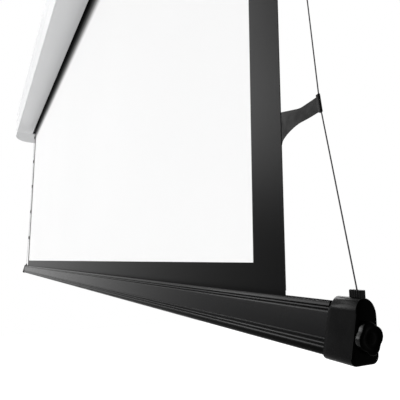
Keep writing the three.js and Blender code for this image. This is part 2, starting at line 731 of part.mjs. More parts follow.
function clipSolid() {
  const half = clip.length / 2;
  const body = box([-clip.inboard, clip.outboard], [-clip.depth / 2, clip.depth / 2], [-half, half]);
  const bore = rodZ(clip.bore, -half - overrun, half + overrun, 0, 0);
  const slit = box(
    [-clip.inboard - overrun, -clip.inboard + clip.slit],
    [sheet.thickness / 2 - clearance, 3 * sheet.thickness / 2 + clearance],
    [-half - overrun, half + overrun]);
  return cut(body, bore, slit);
}

function cordRoute() {
  const tips = tabTips();
  const route = [
    [cordX, crestZ - knob.drop],
    [cordX, crestZ + cap.rise + guide.height],
  ];
  tips.forEach(({ x, z }, index) => {
    const lean = cordLean(tips, index);
    const half = clip.length / 2;
    route.push([x - Math.sin(lean) * half, z - Math.cos(lean) * half]);
    route.push([x + Math.sin(lean) * half, z + Math.cos(lean) * half]);
  });
  route.push([spoolX, roller.rise]);
  return route.map(([x, z]) => new THREE.Vector3(x, 0, z));
}

function buildTensioners() {
  placePair("tab_strip", tabStrip(), finishes.black, sheetGroup);
  placePair("tension_cord", tube(cordRoute(), cord.radius, cord.sides, cord.steps, 0),
    finishes.cord, sheetGroup);
  const sleeve = clipSolid();
  const tips = tabTips();
  tips.forEach(({ x, z }, index) => {
    const placed = sleeve.clone().rotateY(cordLean(tips, index)).translate(x, 0, z);
    place(`cord_clip_right_${index + 1}`, placed, finishes.blackPlastic, sheetGroup);
    place(`cord_clip_left_${index + 1}`, mirrored(placed), finishes.blackPlastic, sheetGroup);
  });
}

// Weight bar: outlines are (Y, Z) about the sheet's plane and the bar's crest
function archOutline(section) {
  const { rear, front, peak, top, bottom, archRear, archFront, footFront, footRise, rearFoot } = section;
  return {
    arch: [
      ...arc(peak, top - archRear, rear - peak, archRear, 0, 0.25),
      ...arc(peak, top - archFront, front + peak, archFront, 0.25, 0.5).slice(1),
    ],
    foot: [
      ...arc(-footFront + footRise, bottom + footRise, footRise, footRise, 0.5, 0.75, 3),
      ...arc(rear - rearFoot, bottom + rearFoot, rearFoot, rearFoot, 0.75, 1, 3),
    ],
  };
}

function grown(section, amount) {
  return {
    ...section,
    rear: section.rear + amount,
    front: section.front + amount,
    footFront: section.footFront + amount,
    top: section.top + amount,
    bottom: section.bottom - amount,
  };
}

const barSection = {
  rear: bar.rear, front: bar.front, peak: 0, top: 0, bottom: -bar.height, archRear: bar.archRear,
  archFront: bar.archFront, footFront: bar.footFront, footRise: bar.footRise, rearFoot: bar.rearFoot,
};
const capSection = {
  rear: cap.rear, front: cap.front, peak: cap.peak, top: cap.rise, bottom: -bar.height - cap.drop,
  archRear: cap.archRear, archFront: cap.archFront, footFront: cap.footFront, footRise: cap.footRise,
  rearFoot: cap.rearFoot,
};

function frontFaceY(z) {
  return -bar.front - faceSlope * (-z - bar.archFront);
}

// Grooves leave the fine ridges standing between them
function barGrooves() {
  const points = [];
  const { depth, width, fineWidth } = ridgeGroove;
  const { upper, fine, lower } = ridgeGrooveDrops;
  const grooves = [
    ...upper.map((centre) => [centre, width]),
    ...fine.map((centre) => [centre, fineWidth]),
    ...lower.map((centre) => [centre, width]),
  ];
  for (const [centre, span] of grooves) {
    const from = -centre + span / 2;
    const to = -centre - span / 2;
    points.push([frontFaceY(from), from]);
    points.push([frontFaceY(from) + depth, from]);
    points.push([frontFaceY(to) + depth, to]);
    points.push([frontFaceY(to), to]);
  }
  return points;
}

function barExtrusion() {
  const { arch, foot } = archOutline(barSection);
  const body = alongX([...arch, ...barGrooves(), ...foot], -barHalf, barHalf);
  const cutX = [-barHalf - overrun, barHalf + overrun];
  const channel = rodX(hem.channelRadius, ...cutX, 0, -hem.drop, roundSteps.small);
  const mouth = box(cutX, [-hem.slotWidth / 2, hem.slotWidth / 2], [-hem.drop, overrun]);
  const floorZ = -bar.height + weight.floor;
  const hollow = alongX([
    [bar.rear - weight.rearWall, -weight.roof],
    [bar.rear - weight.rearWall, floorZ],
    [frontFaceY(floorZ) + weight.frontWall, floorZ],
    [frontFaceY(-weight.roof) + weight.frontWall, -weight.roof],
  ], ...cutX);
  return cut(body, channel, mouth, hollow);
}

// A skin over rings of equal count, closed at both ends
function loftX(rings) {
  const count = rings[0].points.length;
  const corners = rings.flatMap(({ x, points }) => points.flatMap(([y, z]) => [x, y, z]));
  const index = [];
  for (let ring = 0; ring < rings.length - 1; ring += 1) {
    for (let step = 0; step < count; step += 1) {
      const a = ring * count + step;
      const b = ring * count + ((step + 1) % count);
      index.push(a, b, b + count, a, b + count, a + count);
    }
  }
  const lid = (points) => THREE.ShapeUtils.triangulateShape(
    points.map(([y, z]) => new THREE.Vector2(y, z)), []);
  for (const [a, b, c] of lid(rings[0].points)) {
    index.push(a, c, b);
  }
  const last = (rings.length - 1) * count;
  for (const [a, b, c] of lid(rings[rings.length - 1].points)) {
    index.push(last + a, last + b, last + c);
  }
  const geometry = new THREE.BufferGeometry();
  geometry.setAttribute("position", new THREE.Float32BufferAttribute(corners, 3));
  geometry.setIndex(index);
  geometry.computeVertexNormals();
  return geometry;
}

function flatOutline(section) {
  const { arch, foot } = archOutline(section);
  return [...arch, ...foot];
}

// The cap starts close to its full section and only its crest rises over the shoulder
function capStart() {
  const start = { ...capSection };
  for (const key of Object.keys(start)) {
    start[key] = barSection[key] + (capSection[key] - barSection[key]) * capStartShare;
  }
  return { ...start, top: cap.lap };
}

function barCap() {
  const start = barHalf + clearance;
  const rings = [
    { x: start, points: flatOutline(capStart()) },
    { x: start + cap.shoulder, points: flatOutline(capSection) },
  ];
  for (const [inward, outward] of arc(0, 0, 1, 1, 0, 0.25, 3)) {
    rings.push({
      x: capEndX - cap.roundOver * (1 - outward),
      points: flatOutline(grown(capSection, -cap.roundOver * (1 - inward))),
    });
  }
  const floorZ = -bar.height + weight.floor + clearance;
  const spigot = box(
    [start - cap.spigot, start + overrun],
    [frontFaceY(-weight.roof) + weight.frontWall + clearance, bar.rear - weight.rearWall - clearance],
    [floorZ, -weight.roof - clearance]);
  const pocket = rodX(
    spindle.pocketRadius, capEndX - spindle.pocketDepth, capEndX + overrun, knob.centre, -knob.drop);
  const channel = rodZ(cordHole.radius, -knob.drop, cap.rise + overrun, cordX, 0);
  const seat = box(
    [cordX - guide.width / 2 - clearance, cordX + guide.width / 2 + clearance],
    [-guide.depth / 2 - clearance, guide.depth / 2 + clearance],
    [cap.rise - guide.sunk - clearance, cap.rise + overrun]);
  return cut(join(loftX(rings), spigot), pocket, channel, seat);
}

function cordGuide() {
  const half = guide.width / 2;
  const body = box(
    [cordX - half, cordX + half],
    [-guide.depth / 2, guide.depth / 2],
    [cap.rise - guide.sunk, cap.rise + guide.height]);
  const bore = rodZ(
    cordHole.radius, cap.rise - guide.sunk - overrun, cap.rise + guide.height + overrun, cordX, 0);
  const pitch = guide.width / guide.ribs;
  const grooves = [];
  for (let rib = 1; rib < guide.ribs; rib += 1) {
    const x = cordX - half + rib * pitch;
    for (const side of [-1, 1]) {
      const faceY = (side * guide.depth) / 2;
      grooves.push(box(
        [x - guide.ribDepth, x + guide.ribDepth],
        [faceY - guide.ribDepth, faceY + guide.ribDepth],
        [cap.rise, cap.rise + guide.height + overrun]));
    }
  }
  return cut(body, bore, ...grooves);
}

function lobedOutline(radius) {
  const points = [];
  const steps = knob.lobes * roundSteps.lobe;
  for (let step = 0; step < steps; step += 1) {
    const angle = (2 * Math.PI * step) / steps;
    const beat = Math.cos((knob.lobes / 2) * (angle - 2 * Math.PI * knobTurnShare));
    const reach = radius - knob.scallop * (1 - Math.hypot(beat, scallopSoftShare));
    points.push([knob.centre + reach * Math.cos(angle), -knob.drop + reach * Math.sin(angle)]);
  }
  return points;
}

function tensionKnob() {
  const from = capEndX + clearance;
  const to = from + knob.thickness;
  const head = loftX([
    { x: from, points: lobedOutline(knob.radius - knob.chamfer / 2) },
    { x: from + knob.chamfer / 2, points: lobedOutline(knob.radius) },
    { x: to - knob.chamfer, points: lobedOutline(knob.radius) },
    { x: to, points: lobedOutline(knob.radius - knob.chamfer) },
  ]);
  const shaft = rodX(
    spindle.radius, capEndX - spindle.length, from + overrun, knob.centre, -knob.drop, roundSteps.small);
  return join(head, shaft);
}

function buildBar() {
  place("bar_extrusion", barExtrusion(), finishes.barPaint, barGroup);
  place("hem_rod", rodX(hem.rodRadius, -hemRodHalf, hemRodHalf, 0, -hem.drop,
    roundSteps.small), finishes.steel, barGroup);
  const ballastZ = -bar.height + weight.floor + clearance + weight.radius;
  place("ballast_rod", rodX(weight.radius, -ballastHalf, ballastHalf, weight.centre, ballastZ),
    finishes.steel, barGroup);
  placePair("bar_cap", barCap(), finishes.blackPlastic, barGroup);
  placePair("cord_guide", cordGuide(), finishes.blackPlastic, barGroup);
  placePair("tension_knob", tensionKnob(), finishes.blackPlastic, barGroup);
}

// Wall brackets, clamped to the rail on top of the case
function wallBracket() {
  const seat = topZ + clearance;
  const x = [bracketX - bracket.width / 2, bracketX + bracket.width / 2];
  const shelf = box(x, [-bracket.reach, 0], [seat, seat + bracket.thickness]);
  const leg = box(x, [-bracket.thickness, 0], [seat, seat + bracket.rise]);
  const holeZ = seat + bracket.rise - bracket.holeWidth * 2;
  const holes = [-1, 1].map((side) => {
    const centreX = bracketX + (side * bracket.width) / 4;
    const half = (bracket.holeLength - bracket.holeWidth) / 2;
    const radius = bracket.holeWidth / 2;
    return alongY([
      ...arc(centreX + half, holeZ, radius, radius, -0.25, 0.25),
      ...arc(centreX - half, holeZ, radius, radius, 0.25, 0.75),
    ], -bracket.thickness - overrun, overrun);
  });
  const boltHole = rodZ(
    clamp.hole, seat - overrun, seat + bracket.thickness + overrun, bracketX, -rail.fromBack);
  return cut(join(shelf, leg), ...holes, boltHole);
}

function clampBolt() {
  const nutTop = topZ - shell.wall - clearance;
  const headFrom = topZ + 2 * clearance + bracket.thickness;
  const halfWidth = rail.cavityWidth / 2 - 2 * clearance;
  const nut = box(
    [bracketX - clamp.nutLength / 2, bracketX + clamp.nutLength / 2],
    [-rail.fromBack - halfWidth, -rail.fromBack + halfWidth],
    [nutTop - clamp.nutHeight, nutTop]);
  const shank = rodZ(
    clamp.shank, nutTop - clamp.nutHeight / 2, headFrom + clamp.headHeight / 2,
    bracketX, -rail.fromBack);
  const head = rodZ(
    clamp.headRadius, headFrom, headFrom + clamp.headHeight, bracketX, -rail.fromBack,
    clamp.headSides);
  return join(nut, shank, head);
}

function buildBrackets() {
  placePair("wall_bracket", wallBracket(), finishes.zinc);
  placePair("clamp_bolt", clampBolt(), finishes.zinc);
}

buildCase();
buildHousings();
place("idler_plate", supportPlate(idler.shaftRadius + clearance), finishes.steel);
place("motor_plate", mirrored(supportPlate(motorHead.radius + clearance)), finishes.steel);
buildRoller();
buildDrive();
buildElectrics();
buildSheet();
buildTensioners();
buildBar();
buildBrackets();

export default screen;
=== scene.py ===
# Tensioned motorized projector screen, let down to its working height and seen from below its right end
import math

import bmesh
import bpy
from mathutils import Matrix, Vector
from mathutils.geometry import tessellate_polygon


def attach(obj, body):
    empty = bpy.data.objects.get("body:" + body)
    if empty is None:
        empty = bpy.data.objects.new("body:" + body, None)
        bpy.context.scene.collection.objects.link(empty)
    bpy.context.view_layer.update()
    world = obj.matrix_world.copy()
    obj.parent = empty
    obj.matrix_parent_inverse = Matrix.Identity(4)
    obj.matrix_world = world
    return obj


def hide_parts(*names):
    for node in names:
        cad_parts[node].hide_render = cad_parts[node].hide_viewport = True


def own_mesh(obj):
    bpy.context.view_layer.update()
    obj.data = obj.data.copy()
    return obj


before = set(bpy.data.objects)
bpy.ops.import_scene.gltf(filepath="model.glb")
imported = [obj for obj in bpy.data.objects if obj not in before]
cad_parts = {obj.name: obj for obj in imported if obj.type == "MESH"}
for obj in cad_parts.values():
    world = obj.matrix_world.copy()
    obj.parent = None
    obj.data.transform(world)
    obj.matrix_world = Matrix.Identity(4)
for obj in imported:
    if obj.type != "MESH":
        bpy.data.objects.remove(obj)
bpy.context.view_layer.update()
scene = bpy.context.scene
mm = 0.001

# Datums that several pieces share, in millimetres
datum = {
    "fabricY": -44.0,
    "crestZ": -900.5,  # top of the weight bar
    "rollerY": -85.0,
    "rollerZ": 10.0,
    "sheetHalf": 1157.0,
    "caseHalf": 1255.0,
    "topZ": 90.0,
    "footZ": -90.0,
    "frontY": -140.0,
    "gap": 0.3,
}

# Camera
camera = {
    "place": (1.4649, -0.2928, -0.869),
    "turn": 62.41,  # degrees away from facing the wall squarely
    "rise": 8.19,
    "lens": 37.57,
    "sensor": 36,
    "near": 0.01,
    "far": 60,
}


def makeCamera():
    data = bpy.data.cameras.new("camera")
    data.sensor_width = camera["sensor"]
    data.lens = camera["lens"]
    data.clip_start = camera["near"]
    data.clip_end = camera["far"]
    eye = bpy.data.objects.new("camera", data)
    eye.location = camera["place"]
    eye.rotation_euler = (math.radians(90 + camera["rise"]), 0, math.radians(camera["turn"]))
    scene.collection.objects.link(eye)
    scene.camera = eye


makeCamera()
print("camera set")


# Shader building
def addNode(tree, kind, **settings):
    node = tree.nodes.new(kind)
    for key, value in settings.items():
        setattr(node, key, value)
    return node


def link(tree, source, target):
    tree.links.new(source, target)


def feed(tree, value, socket):
    # A socket takes a number, a colour or another node's result
    if isinstance(value, (int, float)):
        socket.default_value = value
    elif isinstance(value, tuple):
        socket.default_value = (*value, 1)
    else:
        link(tree, value, socket)


def calc(tree, operation, *values):
    node = addNode(tree, "ShaderNodeMath", operation=operation)
    for socket, value in zip(node.inputs, values):
        feed(tree, value, socket)
    return node.outputs[0]


def remap(tree, value, low, high, toLow=0.0, toHigh=1.0):
    node = addNode(tree, "ShaderNodeMapRange")
    link(tree, value, node.inputs["Value"])
    for label, level in (("From Min", low), ("From Max", high), ("To Min", toLow), ("To Max", toHigh)):
        node.inputs[label].default_value = level
    return node.outputs["Result"]


def blendColours(tree, share, first, second, how="MIX"):
    # Inputs 6 and 7 are the mix node's colours, output 2 is the mixed one
    node = addNode(tree, "ShaderNodeMix", data_type="RGBA", clamp_factor=True, blend_type=how)
    for key, value in (("Factor", share), (6, first), (7, second)):
        feed(tree, value, node.inputs[key])
    return node.outputs[2]


def pointOn(tree, stretch=None, source="Object"):
    where = addNode(tree, "ShaderNodeTexCoord")
    if stretch is None:
        return where.outputs[source]
    scaled = addNode(tree, "ShaderNodeMapping")
    scaled.inputs["Scale"].default_value = stretch
    link(tree, where.outputs[source], scaled.inputs["Vector"])
    return scaled.outputs["Vector"]


def splitPoint(tree, point):
    split = addNode(tree, "ShaderNodeSeparateXYZ")
    link(tree, point, split.inputs[0])
    return split.outputs


def grain(tree, point, scale, detail=2.0, rough=0.5):
    node = addNode(tree, "ShaderNodeTexNoise")
    for label, level in (("Scale", scale), ("Detail", detail), ("Roughness", rough)):
        node.inputs[label].default_value = level
    link(tree, point, node.inputs["Vector"])
    return node.outputs["Fac"]


def relief(tree, shader, height, depth):
    node = addNode(tree, "ShaderNodeBump")
    node.inputs["Distance"].default_value = depth
    link(tree, height, node.inputs["Height"])
    link(tree, node.outputs["Normal"], shader.inputs["Normal"])


def shaded(colour, factor):
    return tuple(channel * factor for channel in colour)


def setTone(tree, shader, share, look):
    dark, pale = shaded(look["colour"], 1 - look["drift"]), shaded(look["colour"], 1 + look["drift"])
    link(tree, blendColours(tree, share, dark, pale), shader.inputs["Base Color"])


def setGloss(tree, shader, value, span, look):
    first, last = look["swing"]
    dull = remap(tree, value, *span, look["gloss"] + first, look["gloss"] + last)
    link(tree, dull, shader.inputs["Roughness"])


noiseSpan = (0.3, 0.7)  # where most of a noise's values lie


def dressPaint(tree, shader, look):
    # Powder coat: orange peel, a slow drift of tone and small differences of gloss
    point = pointOn(tree)
    drift = remap(tree, grain(tree, point, look["cloud"], 3.0), *noiseSpan)
    speck = remap(tree, grain(tree, point, look["speck"], 1.0), *look["speckSpan"])
    share = look["speckShare"]
    mixed = calc(tree, "ADD", calc(tree, "MULTIPLY", drift, 1 - share), calc(tree, "MULTIPLY", speck, share))
    setTone(tree, shader, mixed, look)
    setGloss(tree, shader, grain(tree, point, look["smear"], 4.0, 0.6), noiseSpan, look)
    relief(tree, shader, grain(tree, point, look["peel"]), look["peelDepth"])


def dressMoulded(tree, shader, look):
    # Moulded plastic: fine spark texture and faint flow marks
    point = pointOn(tree)
    flow = remap(tree, grain(tree, pointOn(tree, look["flow"]), 1.0, 4.0, 0.6), *noiseSpan)
    setTone(tree, shader, flow, look)
    setGloss(tree, shader, grain(tree, point, look["patch"], 3.0), noiseSpan, look)
    relief(tree, shader, grain(tree, point, look["spark"]), look["sparkDepth"])


def dressMetal(tree, shader, look):
    # Rolled, drawn or plated metal: fine lines one way and cloudy plating
    lines = grain(tree, pointOn(tree, look["lines"]), 1.0, 3.0, 0.7)
    cloud = remap(tree, grain(tree, pointOn(tree), look["cloud"], 3.0), *noiseSpan)
    setTone(tree, shader, cloud, look)
    setGloss(tree, shader, lines, look["lineSpan"], look)
    relief(tree, shader, lines, look["lineDepth"])


def dressRubber(tree, shader, look):
    # Rubber with a pale bloom
    point = pointOn(tree)
    bloom = remap(tree, grain(tree, point, look["cloud"], 4.0), *look["bloomSpan"])
    link(tree, blendColours(tree, bloom, look["colour"], look["bloom"]), shader.inputs["Base Color"])
    setGloss(tree, shader, bloom, (0, 1), look)
    relief(tree, shader, grain(tree, point, look["grain"]), look["grainDepth"])


def dressFilm(tree, shader, look):
    # Calendered black film with small embossed dimples
    point = pointOn(tree)
    setTone(tree, shader, remap(tree, grain(tree, point, look["cloud"], 3.0), *noiseSpan), look)
    setGloss(tree, shader, grain(tree, point, look["patch"], 3.0), noiseSpan, look)
    relief(tree, shader, grain(tree, point, look["dimple"], 1.0), look["dimpleDepth"])


def dressCord(tree, shader, look):
    # Braid: two sets of strands that cross, laid on the cord's own map, with painted shade in the valleys
    # between strands
    strands = []
    for side in (1, -1):
        parts = splitPoint(tree, pointOn(tree, (look["strands"], look["lay"] * side, 1), "UV"))
        turns = calc(tree, "MULTIPLY", calc(tree, "ADD", parts[0], parts[1]), 2 * math.pi)
        strands.append(calc(tree, "SINE", turns))
    braid = remap(tree, calc(tree, "MAXIMUM", *strands), *look["braidSpan"])
    # Painted shade: the valleys between strands are darker
    valley = shaded(look["colour"], look["valleyPaintedShade"])
    link(tree, blendColours(tree, braid, valley, look["colour"]), shader.inputs["Base Color"])
    setGloss(tree, shader, braid, (0, 1), look)
    relief(tree, shader, braid, look["braidDepth"])


def dressSheet(tree, shader, look):
    # White face in a black border, with a painted shadow of the case across its top; the sheet's own map is
    # laid out in shares of its width and hang
    parts = splitPoint(tree, pointOn(tree, source="UV"))
    across = calc(tree, "ABSOLUTE", calc(tree, "SUBTRACT", parts[0], 0.5))
    up, soft = parts[1], look["printEdge"]
    sideInk = remap(tree, across, look["sideShare"] - soft, look["sideShare"] + soft)
    footInk = remap(tree, up, look["footShare"] - soft, look["footShare"] + soft, 1, 0)
    ink = calc(tree, "MAXIMUM", sideInk, footInk)

    # Painted shadow of the case: a ramp darkens the white from below the slot up to near black at the slot
    paintedShadow = addNode(tree, "ShaderNodeValToRGB")
    paintedShadow.color_ramp.interpolation = "EASE"
    link(tree, remap(tree, up, *look["paintedShadowShares"]), paintedShadow.inputs["Fac"])
    stops = paintedShadow.color_ramp.elements
    for number, (place, level) in enumerate(look["paintedShadowStops"]):
        stop = stops[number] if number < 2 else stops.new(place)
        stop.position = place
        stop.color = (level, level, level, 1)

    weave = grain(tree, pointOn(tree, look["threadShares"], "UV"), 1.0, 1.0)
    drift = remap(tree, grain(tree, pointOn(tree), look["cloud"]), *noiseSpan)
    white = blendColours(tree, drift, shaded(look["colour"], look["shade"]), look["colour"])
    whiteUnderShadow = blendColours(tree, 1.0, white, paintedShadow.outputs["Color"], "MULTIPLY")
    threads = remap(tree, weave, *noiseSpan)
    dark, pale = shaded(look["ink"], 1 - look["inkDrift"]), shaded(look["ink"], 1 + look["inkDrift"])
    black = blendColours(tree, threads, dark, pale)
    link(tree, blendColours(tree, ink, whiteUnderShadow, black), shader.inputs["Base Color"])
    dull = remap(tree, ink, 0, 1, look["gloss"], look["inkGloss"])
    rough = calc(tree, "ADD", dull, remap(tree, weave, 0, 1, *look["swing"]))
    link(tree, rough, shader.inputs["Roughness"])
    relief(tree, shader, weave, look["weaveDepth"])


def newFinish(name, look):
    material = bpy.data.materials.new(name)
    material.use_nodes = True
    material.diffuse_color = (*look["colour"], 1)
    tree = material.node_tree
    shader = tree.nodes["Principled BSDF"]
    feed(tree, look["colour"], shader.inputs["Base Color"])
    feed(tree, look["gloss"], shader.inputs["Roughness"])
    feed(tree, look.get("metallic", 0.0), shader.inputs["Metallic"])
    feed(tree, look.get("specular", 0.5), shader.inputs["Specular IOR Level"])
    if "dress" in look:
        look["dress"](tree, shader, look)
    return material


# Sheet: one cloth from the roller to the bar; its print and the painted shadow under the case follow from
# the same sizes
sheet = {
    "thickness": 0.5, "head": 10.0, "hem": -909.0, "columns": 116, "rows": 46, "sideBorder": 50.0,
    "footBorder": 29.0, "inChannel": 8.5, "paintedShadowFrom": -166.0, "paintedShadowTo": -92.0, "thread": 0.9,
}
sheetWide = 2 * datum["sheetHalf"]
sheetTall = sheet["head"] - sheet["hem"]

# What the looks of one kind share: scales of their noises, swings of gloss, depths in metres
paint = {
    "dress": dressPaint, "drift": 0.012, "cloud": 2.6, "speck": 900.0, "speckSpan": (0.35, 0.75),
    "speckShare": 0.35, "smear": 14.0, "swing": (-0.05, 0.05), "peel": 620.0, "peelDepth": 0.00005,
}
moulded = {
    "dress": dressMoulded, "drift": 0.15, "flow": (6, 30, 30), "patch": 60.0, "swing": (-0.06, 0.08),
    "spark": 1500.0, "sparkDepth": 0.00005,
}
fineBlack = {**moulded, "spark": 1800.0, "sparkDepth": 0.00001}
metal = {
    "dress": dressMetal, "metallic": 1.0, "lineSpan": (0.25, 0.75), "swing": (-0.08, 0.1),
    "lineDepth": 0.00002,
}
film = {"dress": dressFilm, "drift": 0.15, "cloud": 9.0, "patch": 130.0, "swing": (-0.05, 0.06)}
looks = {
    "casePaint": {**paint, "colour": (0.775, 0.78, 0.785), "gloss": 0.6, "specular": 0.06},
    "coverPaint": {**paint, "colour": (0.69, 0.695, 0.70), "gloss": 0.46, "specular": 0.35},
    "barPaint": {
        **paint, "colour": (0.0032, 0.0032, 0.0034), "gloss": 0.26, "specular": 0.046, "drift": 0.12,
        "swing": (-0.012, 0.012), "peel": 900.0, "peelDepth": 0.00002},
    "housingPlastic": {
        **moulded, "colour": (0.62, 0.625, 0.63), "gloss": 0.5, "specular": 0.4, "drift": 0.015},
    "greyPlastic": {**moulded, "colour": (0.10, 0.105, 0.11), "gloss": 0.5, "specular": 0.4, "drift": 0.06},
    "whitePlastic": {
        **moulded, "colour": (0.78, 0.78, 0.77), "gloss": 0.45, "specular": 0.45, "drift": 0.02,
        "sparkDepth": 0.00004},
    "blackPlastic": {
        **fineBlack, "colour": (0.0016, 0.0016, 0.0017), "gloss": 0.28, "specular": 0.048,
        "sparkDepth": 0.00002},
    "knobPlastic": {**fineBlack, "colour": (0.0004, 0.0004, 0.0004), "gloss": 0.2, "specular": 0.09},
    # painted shade for the ends of caps and knobs: a darker, barely reflective copy of the black plastic
    "endPlastic": {**fineBlack, "colour": (0.0003, 0.0003, 0.0003), "gloss": 0.3, "specular": 0.005},
    # painted shade inside the bar's notches
    "grooveBlack": {**fineBlack, "colour": (0.0006, 0.0006, 0.0006), "gloss": 0.3, "specular": 0.016},
    "zincPlate": {
        **metal, "colour": (0.62, 0.64, 0.67), "gloss": 0.27, "lines": (60, 900, 900), "cloud": 50.0,
        "drift": 0.09},
    "plateSteel": {
        **metal, "colour": (0.40, 0.41, 0.43), "gloss": 0.38, "lines": (900, 60, 900), "cloud": 25.0,
        "drift": 0.12},
    "drawnTube": {
        **metal, "colour": (0.60, 0.62, 0.64), "gloss": 0.34, "lines": (20, 1400, 1400), "cloud": 18.0,
        "drift": 0.06},
    "brass": {
        **metal, "colour": (0.62, 0.47, 0.20), "gloss": 0.3, "lines": (1500, 200, 200), "cloud": 90.0,
        "drift": 0.08, "lineDepth": 0.00001},
    "blackRubber": {
        "dress": dressRubber, "colour": (0.012, 0.012, 0.012), "gloss": 0.62, "specular": 0.35,
        "swing": (-0.05, 0.1), "bloom": (0.03, 0.03, 0.03), "cloud": 45.0, "bloomSpan": (0.4, 0.75),
        "grain": 700.0, "grainDepth": 0.00004},
    "blackFilm": {
        **film, "colour": (0.002, 0.002, 0.0021), "gloss": 0.39, "specular": 0.042, "dimple": 1100.0,
        "dimpleDepth": 0.00004},
    "backing": {
        **film, "colour": (0.018, 0.018, 0.019), "gloss": 0.62, "specular": 0.3, "dimple": 800.0,
        "dimpleDepth": 0.00006},
    "cordBraid": {
        "dress": dressCord, "colour": (0.035, 0.035, 0.037), "gloss": 0.55, "specular": 0.3,
        "swing": (0.1, -0.05), "strands": 3.0, "lay": 420.0, "braidSpan": (-0.4, 1.0),
        "valleyPaintedShade": 0.45, "braidDepth": 0.00006},
    "screenFace": {
        "dress": dressSheet, "colour": (0.93, 0.93, 0.93), "shade": 0.985, "cloud": 1.6, "gloss": 0.82,
        "ink": (0.0012, 0.0012, 0.0013), "inkDrift": 0.2, "inkGloss": 0.36, "specular": 0.033,
        "swing": (-0.04, 0.04), "printEdge": 0.00008, "weaveDepth": 0.00004,
        "sideShare": 0.5 - sheet["sideBorder"] / sheetWide,
        "footShare": (sheet["footBorder"] + sheet["inChannel"]) / sheetTall,
        # painted shadow of the case on the top of the white face: where it runs, and the ramp's stops
        "paintedShadowShares": [(sheet[key] - sheet["hem"]) / sheetTall for key in ("paintedShadowFrom", "paintedShadowTo")],
        "paintedShadowStops": [  # the first two are the ends
            (0.0, 1.0), (1.0, 0.008), (0.08, 0.96), (0.17, 0.80), (0.28, 0.61), (0.40, 0.335),
            (0.51, 0.225), (0.63, 0.10), (0.77, 0.05), (0.90, 0.016)],
        "threadShares": (sheetWide / sheet["thread"], sheetTall / sheet["thread"], 1)},
}
finishes = {name: newFinish(name, look) for name, look in looks.items()}

# The CAD nodes that wear each finish
finishNodes = {
    "casePaint": ("case_shell",),
    "coverPaint": ("case_bottom_cover",),
    "housingPlastic": ("end_housing",),
    "zincPlate": ("plate_screw", "housing_screw", "cover_screw", "wall_bracket", "clamp_bolt"),
    "plateSteel": ("idler_plate", "motor_plate", "idler_shaft", "hem_rod", "ballast_rod"),
    "drawnTube": ("roller_tube", "motor_tube"),
    "whitePlastic": ("motor_head",),
    "brass": ("limit_screw", "idler_bearing"),
    "greyPlastic": ("crown_ring", "drive_wheel", "idler_plug", "control_socket", "control_box"),
    "blackRubber": ("motor_lead",),
    "screenFace": ("viewing_surface",),
    "blackFilm": ("black_border", "tab_strip"),
    "backing": ("fabric_roll",),
    "blackPlastic": ("cord_clip", "bar_cap", "cord_guide", "cord_spool", "power_inlet"),
    "cordBraid": ("tension_cord",),
    "barPaint": ("bar_extrusion",),
    "knobPlastic": ("tension_knob",),
}


def dressNodes():
    for name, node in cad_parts.items():
        finish = next(finish for finish, stems in finishNodes.items() if name.startswith(stems))
        for place in node.material_slots:
            place.material = finishes[finish]


dressNodes()
print("finishes made")

# Room: a pale floor, white all round for the camera and for reflections, and four soft lamps
room = {
    "floorZ": -1.9,
    "floorHalf": 5.0,
    "skyFill": 0.28,
    "floorLook": {"colour": (0.82, 0.82, 0.82), "gloss": 0.9, "specular": 0.1},
    "floorLift": 0.75,
}
lamps = {
    "keyLamp": {"place": (-5.4, -5.1, 2.2), "aim": (0.6, -0.05, -0.6), "size": (3.5, 2.7), "watts": 340},
    "fillLamp": {"place": (1.4, -2.5, -1.45), "aim": (0.6, 0.0, -0.4), "size": (2.4, 1.0), "watts": 26},
    "topLamp": {"place": (-7.9, -3.3, 6.3), "aim": (0.5, -0.1, -0.4), "size": (6.9, 2.0), "watts": 210},
    "backLamp": {"place": (-1.8, 2.3, 0.6), "aim": (0.8, 0.0, -0.6), "size": (2.4, 1.6), "watts": 44},
}


def seenDirectly(tree):
    # 1 for camera, glossy and transmission rays, else 0
    path = addNode(tree, "ShaderNodeLightPath")
    either = calc(tree, "MAXIMUM", path.outputs["Is Camera Ray"], path.outputs["Is Glossy Ray"])
    return calc(tree, "MAXIMUM", either, path.outputs["Is Transmission Ray"])


def oblong(fromX, toX, fromY, toY):
    return [(fromX, fromY), (toX, fromY), (toX, toY), (fromX, toY)]


def makeRoom():
    world = bpy.data.worlds.new("room")
    world.use_nodes = True
    scene.world = world
    tree = world.node_tree
    sky = tree.nodes["Background"]
    sky.inputs["Color"].default_value = (1, 1, 1, 1)
    link(tree, remap(tree, seenDirectly(tree), 0, 1, room["skyFill"], 1.0), sky.inputs["Strength"])

    half = room["floorHalf"]
    mesh = bpy.data.meshes.new("floor")
    corners = [(*corner, room["floorZ"]) for corner in oblong(-half, half, -half, half)]
    mesh.from_pydata(corners, [], [(0, 1, 2, 3)])
    floor = bpy.data.objects.new("floor", mesh)
    scene.collection.objects.link(floor)
    material = newFinish("floorPaint", room["floorLook"])
    tree = material.node_tree
    shader = tree.nodes["Principled BSDF"]
    shader.inputs["Emission Color"].default_value = (1, 1, 1, 1)
    glow = calc(tree, "MULTIPLY", seenDirectly(tree), room["floorLift"])
    link(tree, glow, shader.inputs["Emission Strength"])
    mesh.materials.append(material)

    for name, lamp in lamps.items():
        data = bpy.data.lights.new(name, "AREA")
        data.shape = "RECTANGLE"
        data.size, data.size_y = lamp["size"]
        data.energy = lamp["watts"]
        light = bpy.data.objects.new(name, data)
        light.location = lamp["place"]
        away = Vector(lamp["aim"]) - Vector(lamp["place"])
        light.rotation_euler = away.to_track_quat("-Z", "Y").to_euler()
        scene.collection.objects.link(light)


makeRoom()
scene.view_settings.view_transform = "Standard"
print("room lit")


